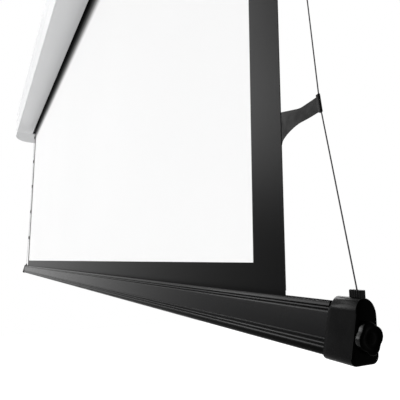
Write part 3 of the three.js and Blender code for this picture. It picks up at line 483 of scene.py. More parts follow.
# Mesh building
def makePiece(name, points, faces, *materials):
    mesh = bpy.data.meshes.new(name)
    mesh.from_pydata([Vector(point) * mm for point in points], [], faces)
    for material in materials:
        mesh.materials.append(finishes[material])
    mesh.update()
    piece = bpy.data.objects.new(name, mesh)
    scene.collection.objects.link(piece)
    return piece


def smoothen(piece, sharpest=34):
    work = bmesh.new()
    work.from_mesh(piece.data)
    for face in work.faces:
        face.smooth = True
    for edge in work.edges:
        edge.smooth = len(edge.link_faces) == 2 and edge.calc_face_angle(0) < math.radians(sharpest)
    work.to_mesh(piece.data)
    work.free()
    return piece


def settle(piece):
    # The modifiers' result becomes the piece's own mesh
    graph = bpy.context.evaluated_depsgraph_get()
    result = piece.evaluated_get(graph)
    mesh = bpy.data.meshes.new_from_object(result, preserve_all_data_layers=True, depsgraph=graph)
    old = piece.data
    piece.modifiers.clear()
    piece.data = mesh
    bpy.data.meshes.remove(old)
    mesh.name = piece.name
    return piece


def carve(piece, *cutters):
    for cutter in cutters:
        cut = piece.modifiers.new(cutter.name, "BOOLEAN")
        cut.operation = "DIFFERENCE"
        cut.solver = "EXACT"
        cut.object = cutter
    settle(piece)
    for cutter in cutters:
        bpy.data.objects.remove(cutter)
    return piece


def arc(centreY, centreZ, radiusY, radiusZ, fromTurn, toTurn, steps):
    points = []
    for step in range(steps + 1):
        angle = 2 * math.pi * (fromTurn + (toTurn - fromTurn) * step / steps)
        points.append((centreY + radiusY * math.cos(angle), centreZ + radiusZ * math.sin(angle)))
    return points


def circle(centre, radius, sides):
    return arc(*centre, radius, radius, 0, 1, sides)[:-1]


def eased(share):
    return share * share * (3 - 2 * share)


def quarter(step, steps):
    # Sine and cosine part of the way through a quarter turn
    angle = math.pi / 2 * step / steps
    return math.sin(angle), math.cos(angle)


def rounded(points, radius, sharpest=25):
    # Small fillets where an outline turns sharply
    result = []
    count = len(points)
    for index, here in enumerate(points):
        corner = Vector(here)
        before = Vector(points[index - 1]) - corner
        after = Vector(points[(index + 1) % count]) - corner
        turn = math.pi - before.angle(after)
        if turn < math.radians(sharpest):
            result.append(tuple(here))
            continue
        setback = min(radius * math.tan(turn / 2), 0.35 * before.length, 0.35 * after.length)
        first = corner + before.normalized() * setback
        last = corner + after.normalized() * setback
        middle = (first + last) / 4 + corner / 2
        result.extend(tuple(point) for point in (first, middle, last))
    return result


def signedArea(loop):
    return sum(a[0] * b[1] - b[0] * a[1] for a, b in zip(loop, [*loop[1:], loop[0]])) / 2


def filled(loops):
    # Triangles over an outline with holes, facing up out of its plane
    corners = [point for loop in loops for point in loop]
    triangles = tessellate_polygon([[Vector((*point, 0)) for point in loop] for loop in loops])
    faces = []
    for a, b, c in triangles:
        flat = signedArea([corners[a], corners[b], corners[c]])
        if abs(flat) > 1e-9:
            faces.append((a, b, c) if flat > 0 else (a, c, b))
    return corners, faces


def prism(loops, low, high):
    # A solid on an outline with holes: (across, up) points drawn out along the third way
    corners, lid = filled(loops)
    count = len(corners)
    points = [(*point, low) for point in corners] + [(*point, high) for point in corners]
    faces = [(a, c, b) for a, b, c in lid] + [(a + count, b + count, c + count) for a, b, c in lid]
    start = 0
    for number, loop in enumerate(loops):
        outward = (signedArea(loop) > 0) == (number == 0)
        for step in range(len(loop)):
            a, b = start + step, start + (step + 1) % len(loop)
            faces.append((a, b, b + count, a + count) if outward else (b, a, a + count, b + count))
        start += len(loop)
    return points, faces


def solid(name, outline, low, high, way, *materials):
    # way "x": outline (Y, Z) drawn along X; "y": outline (X, Z) along -Y; "z": outline (X, Y) along Z
    points, faces = prism([outline], low, high)
    if way == "x":
        points = [(along, across, up) for across, up, along in points]
    elif way == "y":
        points = [(across, -along, up) for across, up, along in points]
    return makePiece(name, points, faces, *materials)


def loft(rings):
    # A skin over rings of equal count, closed at both ends
    count = len(rings[0])
    points = [point for ring in rings for point in ring]
    faces = []
    for ring in range(len(rings) - 1):
        for step in range(count):
            a, b = ring * count + step, ring * count + (step + 1) % count
            faces.append((a, b, b + count, a + count))
    faces.append(tuple(reversed(range(count))))
    faces.append(tuple(range((len(rings) - 1) * count, len(rings) * count)))
    return points, faces


def gridFaces(rows, columns):
    step = columns + 1
    corners = [row * step + column for row in range(rows) for column in range(columns)]
    return [(a, a + 1, a + 1 + step, a + step) for a in corners]


def mirroredPiece(piece, name):
    twin = bpy.data.objects.new(name, piece.data.copy())
    twin.data.name = name
    scene.collection.objects.link(twin)
    twin.data.transform(Matrix.Scale(-1, 4, (1, 0, 0)))
    twin.data.flip_normals()
    return twin


def bothSides(rightPiece):
    # The piece and its mirror image at the other end of the screen
    leftPiece = mirroredPiece(rightPiece, rightPiece.name.replace("Right", "Left"))
    return [(rightPiece, "right"), (leftPiece, "left")]


def fit(piece, body, slot, *nodes):
    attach(piece, body)
    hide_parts(*nodes)


def fitPair(rightPiece, stem, body, slot):
    for piece, side in bothSides(rightPiece):
        fit(piece, body.replace("SIDE", side), slot, f"{stem}_{side}")


# Geometry Nodes: an extrusion drawn out from its end face, and copies of one pattern at given places
def newTree(name, inputs):
    tree = bpy.data.node_groups.new(name, "GeometryNodeTree")
    for label, kind in inputs:
        tree.interface.new_socket(label, in_out="INPUT", socket_type=kind)
    tree.interface.new_socket("Result", in_out="OUTPUT", socket_type="NodeSocketGeometry")
    return tree, addNode(tree, "NodeGroupInput"), addNode(tree, "NodeGroupOutput")


def endTree(tree, geometry, inputs, outputs):
    real = addNode(tree, "GeometryNodeRealizeInstances")
    coat = addNode(tree, "GeometryNodeSetMaterial")
    link(tree, geometry, real.inputs["Geometry"])
    link(tree, real.outputs["Geometry"], coat.inputs["Geometry"])
    link(tree, inputs.outputs["Finish"], coat.inputs["Material"])
    link(tree, coat.outputs["Geometry"], outputs.inputs["Result"])


def extrusionTree():
    tree, inputs, outputs = newTree("extrusion", [
        ("End Face", "NodeSocketGeometry"), ("Length", "NodeSocketFloat"), ("Finish", "NodeSocketMaterial")])
    way = addNode(tree, "ShaderNodeCombineXYZ")
    link(tree, inputs.outputs["Length"], way.inputs["X"])
    draw = addNode(tree, "GeometryNodeExtrudeMesh", mode="FACES")
    draw.inputs["Individual"].default_value = False
    link(tree, inputs.outputs["End Face"], draw.inputs["Mesh"])
    link(tree, way.outputs["Vector"], draw.inputs["Offset"])
    draw.inputs["Offset Scale"].default_value = 1.0
    back = addNode(tree, "GeometryNodeFlipFaces")
    link(tree, inputs.outputs["End Face"], back.inputs["Mesh"])
    both = addNode(tree, "GeometryNodeJoinGeometry")
    link(tree, draw.outputs["Mesh"], both.inputs["Geometry"])
    link(tree, back.outputs["Mesh"], both.inputs["Geometry"])
    weld = addNode(tree, "GeometryNodeMergeByDistance")
    weld.inputs["Distance"].default_value = 1e-6
    link(tree, both.outputs["Geometry"], weld.inputs["Geometry"])
    endTree(tree, weld.outputs["Geometry"], inputs, outputs)
    return tree


def copiesTree():
    tree, inputs, outputs = newTree("copies", [
        ("Places", "NodeSocketGeometry"), ("Pattern", "NodeSocketObject"), ("Finish", "NodeSocketMaterial")])
    pattern = addNode(tree, "GeometryNodeObjectInfo", transform_space="ORIGINAL")
    pattern.inputs["As Instance"].default_value = True
    link(tree, inputs.outputs["Pattern"], pattern.inputs["Object"])
    turn = addNode(tree, "GeometryNodeInputNamedAttribute", data_type="FLOAT_VECTOR")
    turn.inputs["Name"].default_value = "turn"
    spread = addNode(tree, "GeometryNodeInstanceOnPoints")
    link(tree, inputs.outputs["Places"], spread.inputs["Points"])
    link(tree, pattern.outputs["Geometry"], spread.inputs["Instance"])
    link(tree, turn.outputs["Attribute"], spread.inputs["Rotation"])
    endTree(tree, spread.outputs["Instances"], inputs, outputs)
    return tree


trees = {"extrusion": extrusionTree(), "copies": copiesTree()}


def grow(piece, treeName, values):
    tree = trees[treeName]
    step = piece.modifiers.new(treeName, "NODES")
    step.node_group = tree
    for item in tree.interface.items_tree:
        if item.name in values:
            step[item.identifier] = values[item.name]
    return settle(piece)


brace = {"longSide": 2.0, "reach": 0.3, "lift": 0.003}


def braced(loop):
    # Two more points near the ends of each long side keep its shading flat up to the corners
    points = []
    for start, end in zip(loop, [*loop[1:], loop[0]]):
        points.append(tuple(start))
        start, end = Vector(start), Vector(end)
        length = (end - start).length
        if length > brace["longSide"]:
            share = brace["reach"] / length
            raised = Vector((end.y - start.y, start.x - end.x)).normalized() * brace["lift"]
            points += [tuple(start.lerp(end, share) + raised), tuple(start.lerp(end, 1 - share) + raised)]
    return points


def extrusion(name, loops, halfLength, finish):
    corners, faces = filled([braced(loop) for loop in loops])
    piece = makePiece(name, [(-halfLength, *point) for point in corners], faces, finish)
    return smoothen(grow(piece, "extrusion", {"Length": 2 * halfLength * mm, "Finish": finishes[finish]}))


def copies(name, pattern, places, finish):
    # places: (point, turn) pairs, in millimetres and radians
    piece = makePiece(name, [point for point, turn in places], [], finish)
    attribute = piece.data.attributes.new("turn", "FLOAT_VECTOR", "POINT")
    for item, (point, turn) in zip(attribute.data, places):
        item.vector = turn
    grow(piece, "copies", {"Pattern": pattern, "Finish": finishes[finish]})
    bpy.data.objects.remove(pattern)
    return smoothen(piece)


# Case: a C-shaped extrusion with a clamp rail on top, and the cover that closes its underside
case = {
    "wall": 2.2, "frontRadius": 18.0, "slotFront": 8.0, "slotRear": 14.0, "rearLip": 8.0, "coverLip": 10.0,
    "ledgeReach": 10.0, "ledgeThickness": 2.0, "railFromBack": 35.0, "railMouth": 8.0, "railWidth": 18.0,
    "railHeight": 5.0, "lineRise": 81.0, "linePitch": 46.0, "lineWidth": 3.4, "lineDepth": 1.5, "edge": 0.5,
}


def buildCase():
    wall, front, top, foot, gap = case["wall"], datum["frontY"], datum["topZ"], datum["footZ"], datum["gap"]
    radius = case["frontRadius"]
    slotFront = datum["fabricY"] - case["slotFront"]
    slotRear = datum["fabricY"] + case["slotRear"]
    rail = -case["railFromBack"]
    mouth, half = case["railMouth"] / 2, case["railWidth"] / 2
    roof = top - wall
    floor = roof - case["railHeight"]
    ledge = foot + wall + gap
    shelf = front + wall + case["ledgeReach"]
    lines = []
    for rise in (case["lineRise"] + case["linePitch"], case["lineRise"]):
        upper, lower = foot + rise + case["lineWidth"] / 2, foot + rise - case["lineWidth"] / 2
        deep = front + case["lineDepth"]
        lines += [(front, upper), (deep, upper), (deep, lower), (front, lower)]
    outline = rounded([
        (slotRear, foot), (0, foot), (0, top), (rail + mouth, top), (rail + mouth, roof),
        (rail + half, roof), (rail + half, floor), (rail - half, floor), (rail - half, roof),
        (rail - mouth, roof), (rail - mouth, top),
        *arc(front + radius, top - radius, radius, radius, 0.25, 0.5, 16),
        *lines,
        (front, foot), (front + wall, foot), (front + wall, ledge), (shelf, ledge),
        (shelf, ledge + case["ledgeThickness"]), (front + wall, ledge + case["ledgeThickness"]),
        *arc(front + radius, top - radius, radius - wall, radius - wall, 0.5, 0.25, 12),
        (rail - half - wall, roof), (rail - half - wall, floor - wall), (rail + half + wall, floor - wall),
        (rail + half + wall, roof), (-wall, roof), (-wall, foot + wall), (slotRear + wall, foot + wall),
        (slotRear + wall, foot + case["rearLip"]), (slotRear, foot + case["rearLip"]),
    ], case["edge"])
    shell = extrusion("caseShell", [outline], datum["caseHalf"], "casePaint")
    fit(shell, "case", "case_paint", "case_shell")

    inner = front + wall + gap
    cover = extrusion("caseCover", [rounded([
        (inner, foot), (slotFront, foot), (slotFront, foot + case["coverLip"]),
        (slotFront - wall, foot + case["coverLip"]), (slotFront - wall, foot + wall), (inner, foot + wall),
    ], case["edge"])], datum["caseHalf"], "coverPaint")
    fit(cover, "case", "cover_paint", "case_bottom_cover")


buildCase()
print("case built")

# End housings: moulded cups with a swept front corner and a soft top edge that runs round it
housing = {
    "length": 215.0, "wall": 3.0, "cornerLength": 130.0, "cornerDepth": 90.0, "topRadius": 18.0,
    "endRadius": 7.0, "footRadius": 3.0, "backRadius": 1.5, "cornerSteps": 40, "edgeSteps": 10,
    "footSteps": 4, "backSteps": 4, "straightSteps": 4,
}
opening = {"corner": 1.5, "out": 2.0, "deep": 12.0, "fromBack": 27.0}
inlet = {"rise": 25.0, "width": 20.0, "height": 27.0}
port = {"rise": -12.0, "width": 12.0, "height": 12.0}
access = {"radius": 4.0, "spread": 24.0, "rise": -5.0, "deep": 60.0, "sides": 32}


def housingOutline():
    # (x, y, outward x, outward y, top radius) from the case joint round the front to the wall
    start = datum["caseHalf"] + datum["gap"]
    end = start + housing["length"]
    long, deep = housing["cornerLength"], housing["cornerDepth"]
    centreX, centreY = end - long, datum["frontY"] + deep
    big, small = housing["topRadius"], housing["endRadius"]
    points = []
    for step in range(housing["straightSteps"]):
        share = step / housing["straightSteps"]
        points.append((start + (centreX - start) * share, datum["frontY"], 0, -1, big))
    for step in range(housing["cornerSteps"] + 1):
        share = step / housing["cornerSteps"]
        angle = -math.pi / 2 + (math.pi / 2) * share
        outward = Vector((math.cos(angle) / long, math.sin(angle) / deep)).normalized()
        radius = big + (small - big) * eased(share)
        x, y = centreX + long * math.cos(angle), centreY + deep * math.sin(angle)
        points.append((x, y, *outward, radius))
    points.append((end, centreY / 2, 1, 0, small))
    back = housing["backRadius"]
    for x, y in arc(end - back, -back, back, back, 0, 0.25, housing["backSteps"]):
        outward = Vector((x - end + back, y + back)).normalized()
        points.append((x, y, *outward, small))
    return points


def housingSkin():
    outline = housingOutline()
    start = datum["caseHalf"] + datum["gap"]
    rows = []
    foot = housing["footRadius"]
    for step in range(housing["footSteps"] + 1):
        out, up = quarter(step, housing["footSteps"])
        rows.append([
            (x - nx * foot * (1 - out), y - ny * foot * (1 - out), datum["footZ"] + foot * (1 - up))
            for x, y, nx, ny, radius in outline])
    for step in range(housing["edgeSteps"] + 1):
        up, out = quarter(step, housing["edgeSteps"])
        rows.append([
            (x - nx * radius * (1 - out), y - ny * radius * (1 - out), datum["topZ"] - radius * (1 - up))
            for x, y, nx, ny, radius in outline])
    for row in rows:
        row[0] = (start, *row[0][1:])
        for index in range(len(outline) - housing["backSteps"] - 1, len(outline)):
            x, y, z = row[index]
            row[index] = (x, outline[index][1], z)
        row.append((start, 0, row[0][2]))
    count = len(rows[0])
    faces = gridFaces(len(rows) - 1, count - 1)
    faces.append(tuple(reversed(range(count))))
    faces.append(tuple(range((len(rows) - 1) * count, len(rows) * count)))
    return [point for row in rows for point in row], faces


def buildHousings():
    right = makePiece("endHousingRight", *housingSkin(), "housingPlastic")
    wall = right.modifiers.new("wall", "SOLIDIFY")
    wall.thickness = housing["wall"] * mm
    wall.offset = -1
    wall.use_even_offset = True
    wall.use_quality_normals = True
    settle(right)
    left = mirroredPiece(right, "endHousingLeft")
    end = -(datum["caseHalf"] + datum["gap"] + housing["length"])
    near, middle = end - opening["out"], -opening["fromBack"]
    cuts = []
    for name, size in (("inletCut", inlet), ("portCut", port)):
        half, high = size["width"] / 2, size["height"] / 2
        outline = oblong(middle - half, middle + half, size["rise"] - high, size["rise"] + high)
        cuts.append(solid(name, rounded(outline, opening["corner"]), near, end + opening["deep"], "x"))
    for side in (-1, 1):
        place = (datum["rollerY"] + side * access["spread"] / 2, access["rise"])
        outline = circle(place, access["radius"], access["sides"])
        cuts.append(solid(f"accessCut{side}", outline, near, end + access["deep"], "x"))
    carve(left, *cuts)
    for piece, side in ((right, "right"), (left, "left")):
        fit(smoothen(piece, 30), "case", "housing_plastic", f"end_housing_{side}")


buildHousings()
print("end housings built")

# Pan-head screws with a cross recess, on the top and the underside of the case
screw = {
    "headRadius": 3.8, "headHeight": 2.2, "shankRadius": 2.0, "shankLength": 8.0, "recess": 4.2,
    "recessWidth": 0.9, "recessDepth": 1.3, "fromBack": 92.0, "plateX": 1231.0, "tongueX": 1250.0,
    "sides": 32, "rim": (0.2, 0.25), "dome": [(1.0, 0.45), (0.95, 0.7), (0.8, 0.9), (0.45, 1.0)],
    "topTurn": 0.4, "tongueTurn": 1.1, "footTurn": 0.7,
}


def panHeadPattern():
    radius, height = screw["headRadius"], screw["headHeight"]
    inset, rise = screw["rim"]
    shank = screw["shankRadius"]
    profile = [(shank, -screw["shankLength"]), (shank, 0), (radius - inset, 0), (radius, rise)]
    profile += [(radius * wide, height * high) for wide, high in screw["dome"]]
    rings = [[(*point, z) for point in circle((0, 0), r, screw["sides"])] for r, z in profile]
    head = makePiece("panHead", *loft(rings), "zincPlate")
    long, thin = screw["recess"] / 2, screw["recessWidth"] / 2
    arms = []
    for number, (across, along) in enumerate(((long, thin), (thin, long))):
        outline = oblong(-across, across, -along, along)
        arms.append(solid(f"arm{number}", outline, height - screw["recessDepth"], height + 1, "z"))
    return carve(head, *arms)


def buildScrews():
    top, foot, y = datum["topZ"] + datum["gap"], datum["footZ"] - datum["gap"], -screw["fromBack"]
    places = []
    for side in (-1, 1):
        places.append(((side * screw["plateX"], y, top), (0, 0, screw["topTurn"] * side)))
        places.append(((side * screw["tongueX"], y, top), (0, 0, screw["tongueTurn"] + side)))
        places.append(((side * screw["plateX"], y, foot), (math.pi, 0, screw["footTurn"])))
    piece = copies("caseScrews", panHeadPattern(), places, "zincPlate")
    kinds, ends = ("plate", "housing", "cover"), ("left", "right")
    fit(piece, "case", "zinc_plate", *(f"{kind}_screw_{end}" for kind in kinds for end in ends))


buildScrews()
print("screws placed")

# Wall brackets: bent plates with two slots, clamped to the rail
bracket = {
    "place": 1000.0, "width": 70.0, "thickness": 3.0, "reach": 62.0, "rise": 75.0, "bend": 5.0,
    "holeWidth": 9.0, "holeLength": 24.0, "holeDrop": 18.0, "holeSpread": 17.5, "boltHole": 3.0, "edge": 0.4,
    "slotCut": (-5.0, 10.0), "boltCut": (-2.0, 8.0),
}


def bracketPiece():
    seat = datum["topZ"] + datum["gap"]
    crown = seat + bracket["rise"]
    middle, half = bracket["place"], bracket["width"] / 2
    thick, bend = bracket["thickness"], bracket["bend"]
    outline = rounded([
        (-bracket["reach"], seat), *arc(-bend, seat + bend, bend, bend, 0.75, 1, 8), (0, crown),
        (-thick, crown), *arc(-bend, seat + bend, bend - thick, bend - thick, 1, 0.75, 6),
        (-bracket["reach"], seat + thick),
    ], bracket["edge"])
    piece = solid("wallBracketRight", outline, middle - half, middle + half, "x", "zincPlate")
    rise = crown - bracket["holeDrop"]
    radius = bracket["holeWidth"] / 2
    run = bracket["holeLength"] / 2 - radius
    cuts = []
    for side in (-1, 1):
        x = middle + side * bracket["holeSpread"]
        outline = arc(x + run, rise, radius, radius, -0.25, 0.25, 12)
        outline += arc(x - run, rise, radius, radius, 0.25, 0.75, 12)
        cuts.append(solid(f"slotCut{side}", outline, *bracket["slotCut"], "y"))
    hole = circle((middle, -case["railFromBack"]), bracket["boltHole"], 24)
    below, above = bracket["boltCut"]
    cuts.append(solid("boltCut", hole, seat + below, seat + above, "z"))
    return smoothen(carve(piece, *cuts))


fitPair(bracketPiece(), "wall_bracket", "bracket_SIDE", "zinc_plate")
print("brackets built")

# Roll: the turns of the sheet left on the roller, drawn as one spiral strip
roll = {"inner": 39.35, "outer": 40.43, "turns": 2.0, "stepsPerTurn": 96, "thickness": 0.5}


def buildRoll():
    steps = int(roll["turns"] * roll["stepsPerTurn"])
    rise = (roll["outer"] - roll["inner"] - roll["thickness"]) / roll["turns"]
    outer, inner = [], []
    for step in range(steps + 1):
        angle = 2 * math.pi * step / roll["stepsPerTurn"]
        near = roll["inner"] + rise * step / roll["stepsPerTurn"]
        for side, radius in ((inner, near), (outer, near + roll["thickness"])):
            y, z = radius * math.cos(angle), radius * math.sin(angle)
            side.append((datum["rollerY"] + y, datum["rollerZ"] + z))
    piece = extrusion("fabricRoll", [[*outer, *reversed(inner)]], datum["sheetHalf"], "backing")
    fit(piece, "roller", "black_screen", "fabric_roll")
    return piece


fabricRoll = buildRoll()
print("roll wound")

# Side tabs: one film strip a side, welded behind the border, its tabs drawn out to the tension cord
tabs = {
    "reaches": [53.0, 37.8, 32.0, 37.4, 52.4], "lowest": -736.0, "pitch": 152.4, "overlap": 12.0,
    "rootTop": 8.6, "rootBottom": 24.5, "neckShare": 0.52, "neckTop": 3.6, "neckBend": 0.16,
    "tipTop": 6.8, "tipBottom": 7.2, "thickness": 0.5, "stripFoot": 4.0, "curveParts": 6, "neckSteps": 6,
    "lowerEdgeShares": [(0.05, 0.79), (0.23, 0.57), (0.46, 0.42), (0.71, 0.37)],
}
clip = {
    "length": 17.0, "inboard": 2.3, "outboard": 1.3, "depth": 2.4, "bore": 0.75, "slit": 0.9,
    "slitSlack": 0.3, "slitHalf": 0.35, "chamfer": 0.3,
}
cord = {"radius": 0.6, "sides": 12, "guideX": 1239.4, "guideZ": -890.6, "foot": -923.0, "spoolX": 1225.0}


def tabTips():
    edge, lowest, pitch = datum["sheetHalf"], tabs["lowest"], tabs["pitch"]
    return [(edge + reach, lowest + index * pitch) for index, reach in enumerate(tabs["reaches"])]


def cordLean(index):
    # Mean lean of the cord's runs below and above a sleeve
    stops = [(cord["guideX"], cord["guideZ"]), *tabTips(), (cord["spoolX"], datum["rollerZ"])]
    below, here, above = stops[index:index + 3]
    lower = math.atan2(here[0] - below[0], here[1] - below[1])
    upper = math.atan2(above[0] - here[0], above[1] - here[1])
    return (lower + upper) / 2


def curveThrough(points, parts):
    # Smooth line through given points
    result = []
    for index in range(len(points) - 1):
        a = Vector(points[max(index - 1, 0)])
        b, c = Vector(points[index]), Vector(points[index + 1])
        d = Vector(points[min(index + 2, len(points) - 1)])
        for part in range(parts):
            t = part / parts
            bend = 2 * b + (c - a) * t + (2 * a - 5 * b + 4 * c - d) * t**2 + (3 * b - a - 3 * c + d) * t**3
            result.append(tuple(0.5 * bend))
    result.append(tuple(points[-1]))
    return result


def softCorner(before, corner, after, share, steps):
    # The corner of two lines, eased over a share of each
    first, last = corner.lerp(before, share), corner.lerp(after, share)
    points = []
    for step in range(steps + 1):
        part = step / steps
        points.append(tuple(first.lerp(corner, part).lerp(corner.lerp(last, part), part)))
    return points


def tabOutline():
    edge = datum["sheetHalf"]
    inner = edge - tabs["overlap"]
    foot = datum["crestZ"] + tabs["stripFoot"]
    outline = [(inner, foot), (edge, foot)]
    for index, (tipX, z) in enumerate(tabTips()):
        reach = tipX - edge
        lean = math.tan(cordLean(index))
        end = tipX - clip["inboard"] + clip["slit"]
        shares = [(0, 1), *tabs["lowerEdgeShares"]]
        lower = [(edge + along * reach, z - down * tabs["rootBottom"]) for along, down in shares]
        lower.append((end - lean * tabs["tipBottom"], z - tabs["tipBottom"]))
        tip = Vector((end + lean * tabs["tipTop"], z + tabs["tipTop"]))
        neck = Vector((edge + tabs["neckShare"] * reach, z + tabs["neckTop"]))
        root = Vector((edge, z + tabs["rootTop"]))
        outline += curveThrough(lower, tabs["curveParts"])
        outline.append(tuple(tip))
        outline += softCorner(tip, neck, root, tabs["neckBend"], tabs["neckSteps"])
        outline.append(tuple(root))
    outline += [(edge, datum["rollerZ"]), (inner, datum["rollerZ"])]
    return outline


def hang(piece, slot, *nodes):
    # Pieces on the sheet go on the case and get a mesh of their own
    fit(piece, "case", slot, *nodes)
    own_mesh(piece)


def hangPair(rightPiece, slot, *stems):
    pair = bothSides(rightPiece)
    for piece, side in pair:
        hang(piece, slot, *(stem.replace("SIDE", side) for stem in stems))
    return [piece for piece, side in pair]


def buildTabs():
    behind = -(datum["fabricY"] + tabs["thickness"] / 2)
    piece = solid("tabStripRight", tabOutline(), behind - tabs["thickness"], behind, "y", "blackFilm")
    return hangPair(smoothen(piece), "black_screen", "tab_strip_SIDE")


def clipPattern():
    # A sleeve round the cord with a flat grip for the film
    half, inner, length, chamfer = clip["depth"] / 2, clip["inboard"], clip["length"], clip["chamfer"]
    rows = []
    for inset, z in ((chamfer, -length / 2), (0, -length / 2 + chamfer), (0, length / 2 - chamfer),
                     (chamfer, length / 2)):
        reach = half - inset
        outline = arc(0, 0, clip["outboard"] - inset, reach, -0.25, 0.25, 10)
        outline += [(-inner + inset, reach), (-inner + inset, -reach)]
        rows.append([(*point, z) for point in outline])
    pattern = makePiece("clipPattern", *loft(rows), "blackPlastic")
    hole = solid("boreCut", circle((0, 0), clip["bore"], 16), -length, length, "z")
    middle, thin = tabs["thickness"], clip["slitHalf"]
    slit = oblong(-inner - 1, -inner + clip["slit"] + clip["slitSlack"], middle - thin, middle + thin)
    return carve(pattern, hole, solid("slitCut", slit, -length, length, "z"))


def buildClips():
    tips = tabTips()
    places = [((x, datum["fabricY"], z), (0, cordLean(index), 0)) for index, (x, z) in enumerate(tips)]
    piece = copies("cordClipsRight", clipPattern(), places, "blackPlastic")
    stems = [f"cord_clip_SIDE_{number}" for number in range(1, len(tips) + 1)]
    return hangPair(piece, "black_plastic", *stems)


def cordRoute():
    route = [(cord["guideX"], cord["foot"]), (cord["guideX"], cord["guideZ"])]
    for index, (x, z) in enumerate(tabTips()):
        lean, half = cordLean(index), clip["length"] / 2
        for way in (-half, half):
            route.append((x + math.sin(lean) * way, z + math.cos(lean) * way))
    route.append((cord["spoolX"], datum["rollerZ"]))
    return route


def buildCords():
    route = cordRoute()
    sides = cord["sides"]
    rings, lengths = [], []
    length = 0.0
    for index, (x, z) in enumerate(route):
        before = route[max(index - 1, 0)]
        after = route[min(index + 1, len(route) - 1)]
        length += math.dist(before, (x, z)) * mm
        lengths.append(length)
        along = Vector((after[0] - before[0], 0, after[1] - before[1])).normalized()
        centre = Vector((x, datum["fabricY"], z))
        rings.append([
            tuple(centre + Vector((along.z * out, back, -along.x * out)) * cord["radius"])
            for out, back in circle((0, 0), 1, sides)])
    piece = makePiece("tensionCordRight", *loft(rings), "cordBraid")
    layer = piece.data.uv_layers.new(name="cordMap")
    for face in piece.data.polygons:
        # The faces that close the ring take their map's far edge
        closing = len(face.vertices) == 4 and any(vertex % sides == sides - 1 for vertex in face.vertices)
        for loop, vertex in zip(face.loop_indices, face.vertices):
            ring, side = divmod(vertex, sides)
            layer.data[loop].uv = (1 if closing and side == 0 else side / sides, lengths[ring])
    hangPair(smoothen(piece), "cord", "tension_cord_SIDE")


tabPieces = buildTabs()
print("tab strips cut")
clipPieces = buildClips()
print("cord clips placed")
buildCords()
print("tension cords run")


def buildSheet():
    points, shares = [], []
    for row in range(sheet["rows"] + 1):
        for column in range(sheet["columns"] + 1):
            across, up = column / sheet["columns"], row / sheet["rows"]
            x, z = sheetWide * across - sheetWide / 2, sheet["hem"] + sheetTall * up
            points.append((x, datum["fabricY"], z))
            shares.append((across, up))
    faces = gridFaces(sheet["rows"], sheet["columns"])
    piece = makePiece("screenSheet", points, faces, "screenFace", "backing")
    layer = piece.data.uv_layers.new(name="sheetMap")
    for loop in piece.data.loops:
        layer.data[loop.index].uv = shares[loop.vertex_index]
    body = piece.modifiers.new("thickness", "SOLIDIFY")
    body.thickness = sheet["thickness"] * mm
    body.offset = 0
    body.material_offset = 1
    body.material_offset_rim = 1
    hang(smoothen(settle(piece)), "white_screen", "viewing_surface", "black_border")


buildSheet()
print("sheet hung")

# Weight bar: arched extrusion, notches along its face, a hem channel on top and a hollow for ballast
bar = {
    "half": 1220.2, "height": 39.7, "rear": 8.2, "front": 9.7, "archRear": 6.5, "archFront": 2.6,
    "footFront": 16.3, "footRise": 3.5, "rearFoot": 3.0, "channelRadius": 3.6, "channelDrop": 12.0,
    "mouth": 1.2, "mouthDip": 1.3, "frontWall": 2.4, "rearWall": 2.0, "floor": 2.2, "roof": 18.0,
    "edge": 0.22, "hollowEdge": 0.8,
    "bevel": 1.25, "bevelDrop": 2.9, "bevelBulge": 0.15, "bevelSteps": 8,
    "upperNotches": [(3.0, 4.1, 5.05), (5.4, 6.65, 7.75)],  # step in, lip, back on the face
    "lowerNotches": [(28.1, 29.65, 30.65), (30.85, 32.35, 33.4)],
    "line": (26.1, 26.7), "lineDepth": 0.5, "footStep": 34.1, "footStepDepth": 0.6, "notchDepth": 2.0,
    "lipDepth": 0.25, "notchShadeFrom": 0.5, "notchShadeTo": 2.05,
}


def barFaceY(z):
    slope = (bar["footFront"] - bar["front"]) / (bar["height"] - bar["footRise"] - bar["archFront"])
    return -bar["front"] - slope * (-z - bar["archFront"])


def onFace(drop, depth=0.0):
    # A point this far below the crest, on the bar's front face or sunk behind it
    return barFaceY(-drop) + depth, -drop


def notchPoints(notches):
    # A step in, then a lip whose bevel runs back out to the face
    sunk, edge = bar["notchDepth"], bar["lipDepth"]
    points = []
    for step, lip, end in notches:
        points += [onFace(step), onFace(step, sunk), onFace(lip, sunk), onFace(lip, edge), onFace(end)]
    return points


def placed(outline):
    return [(y + datum["fabricY"], z + datum["crestZ"]) for y, z in outline]


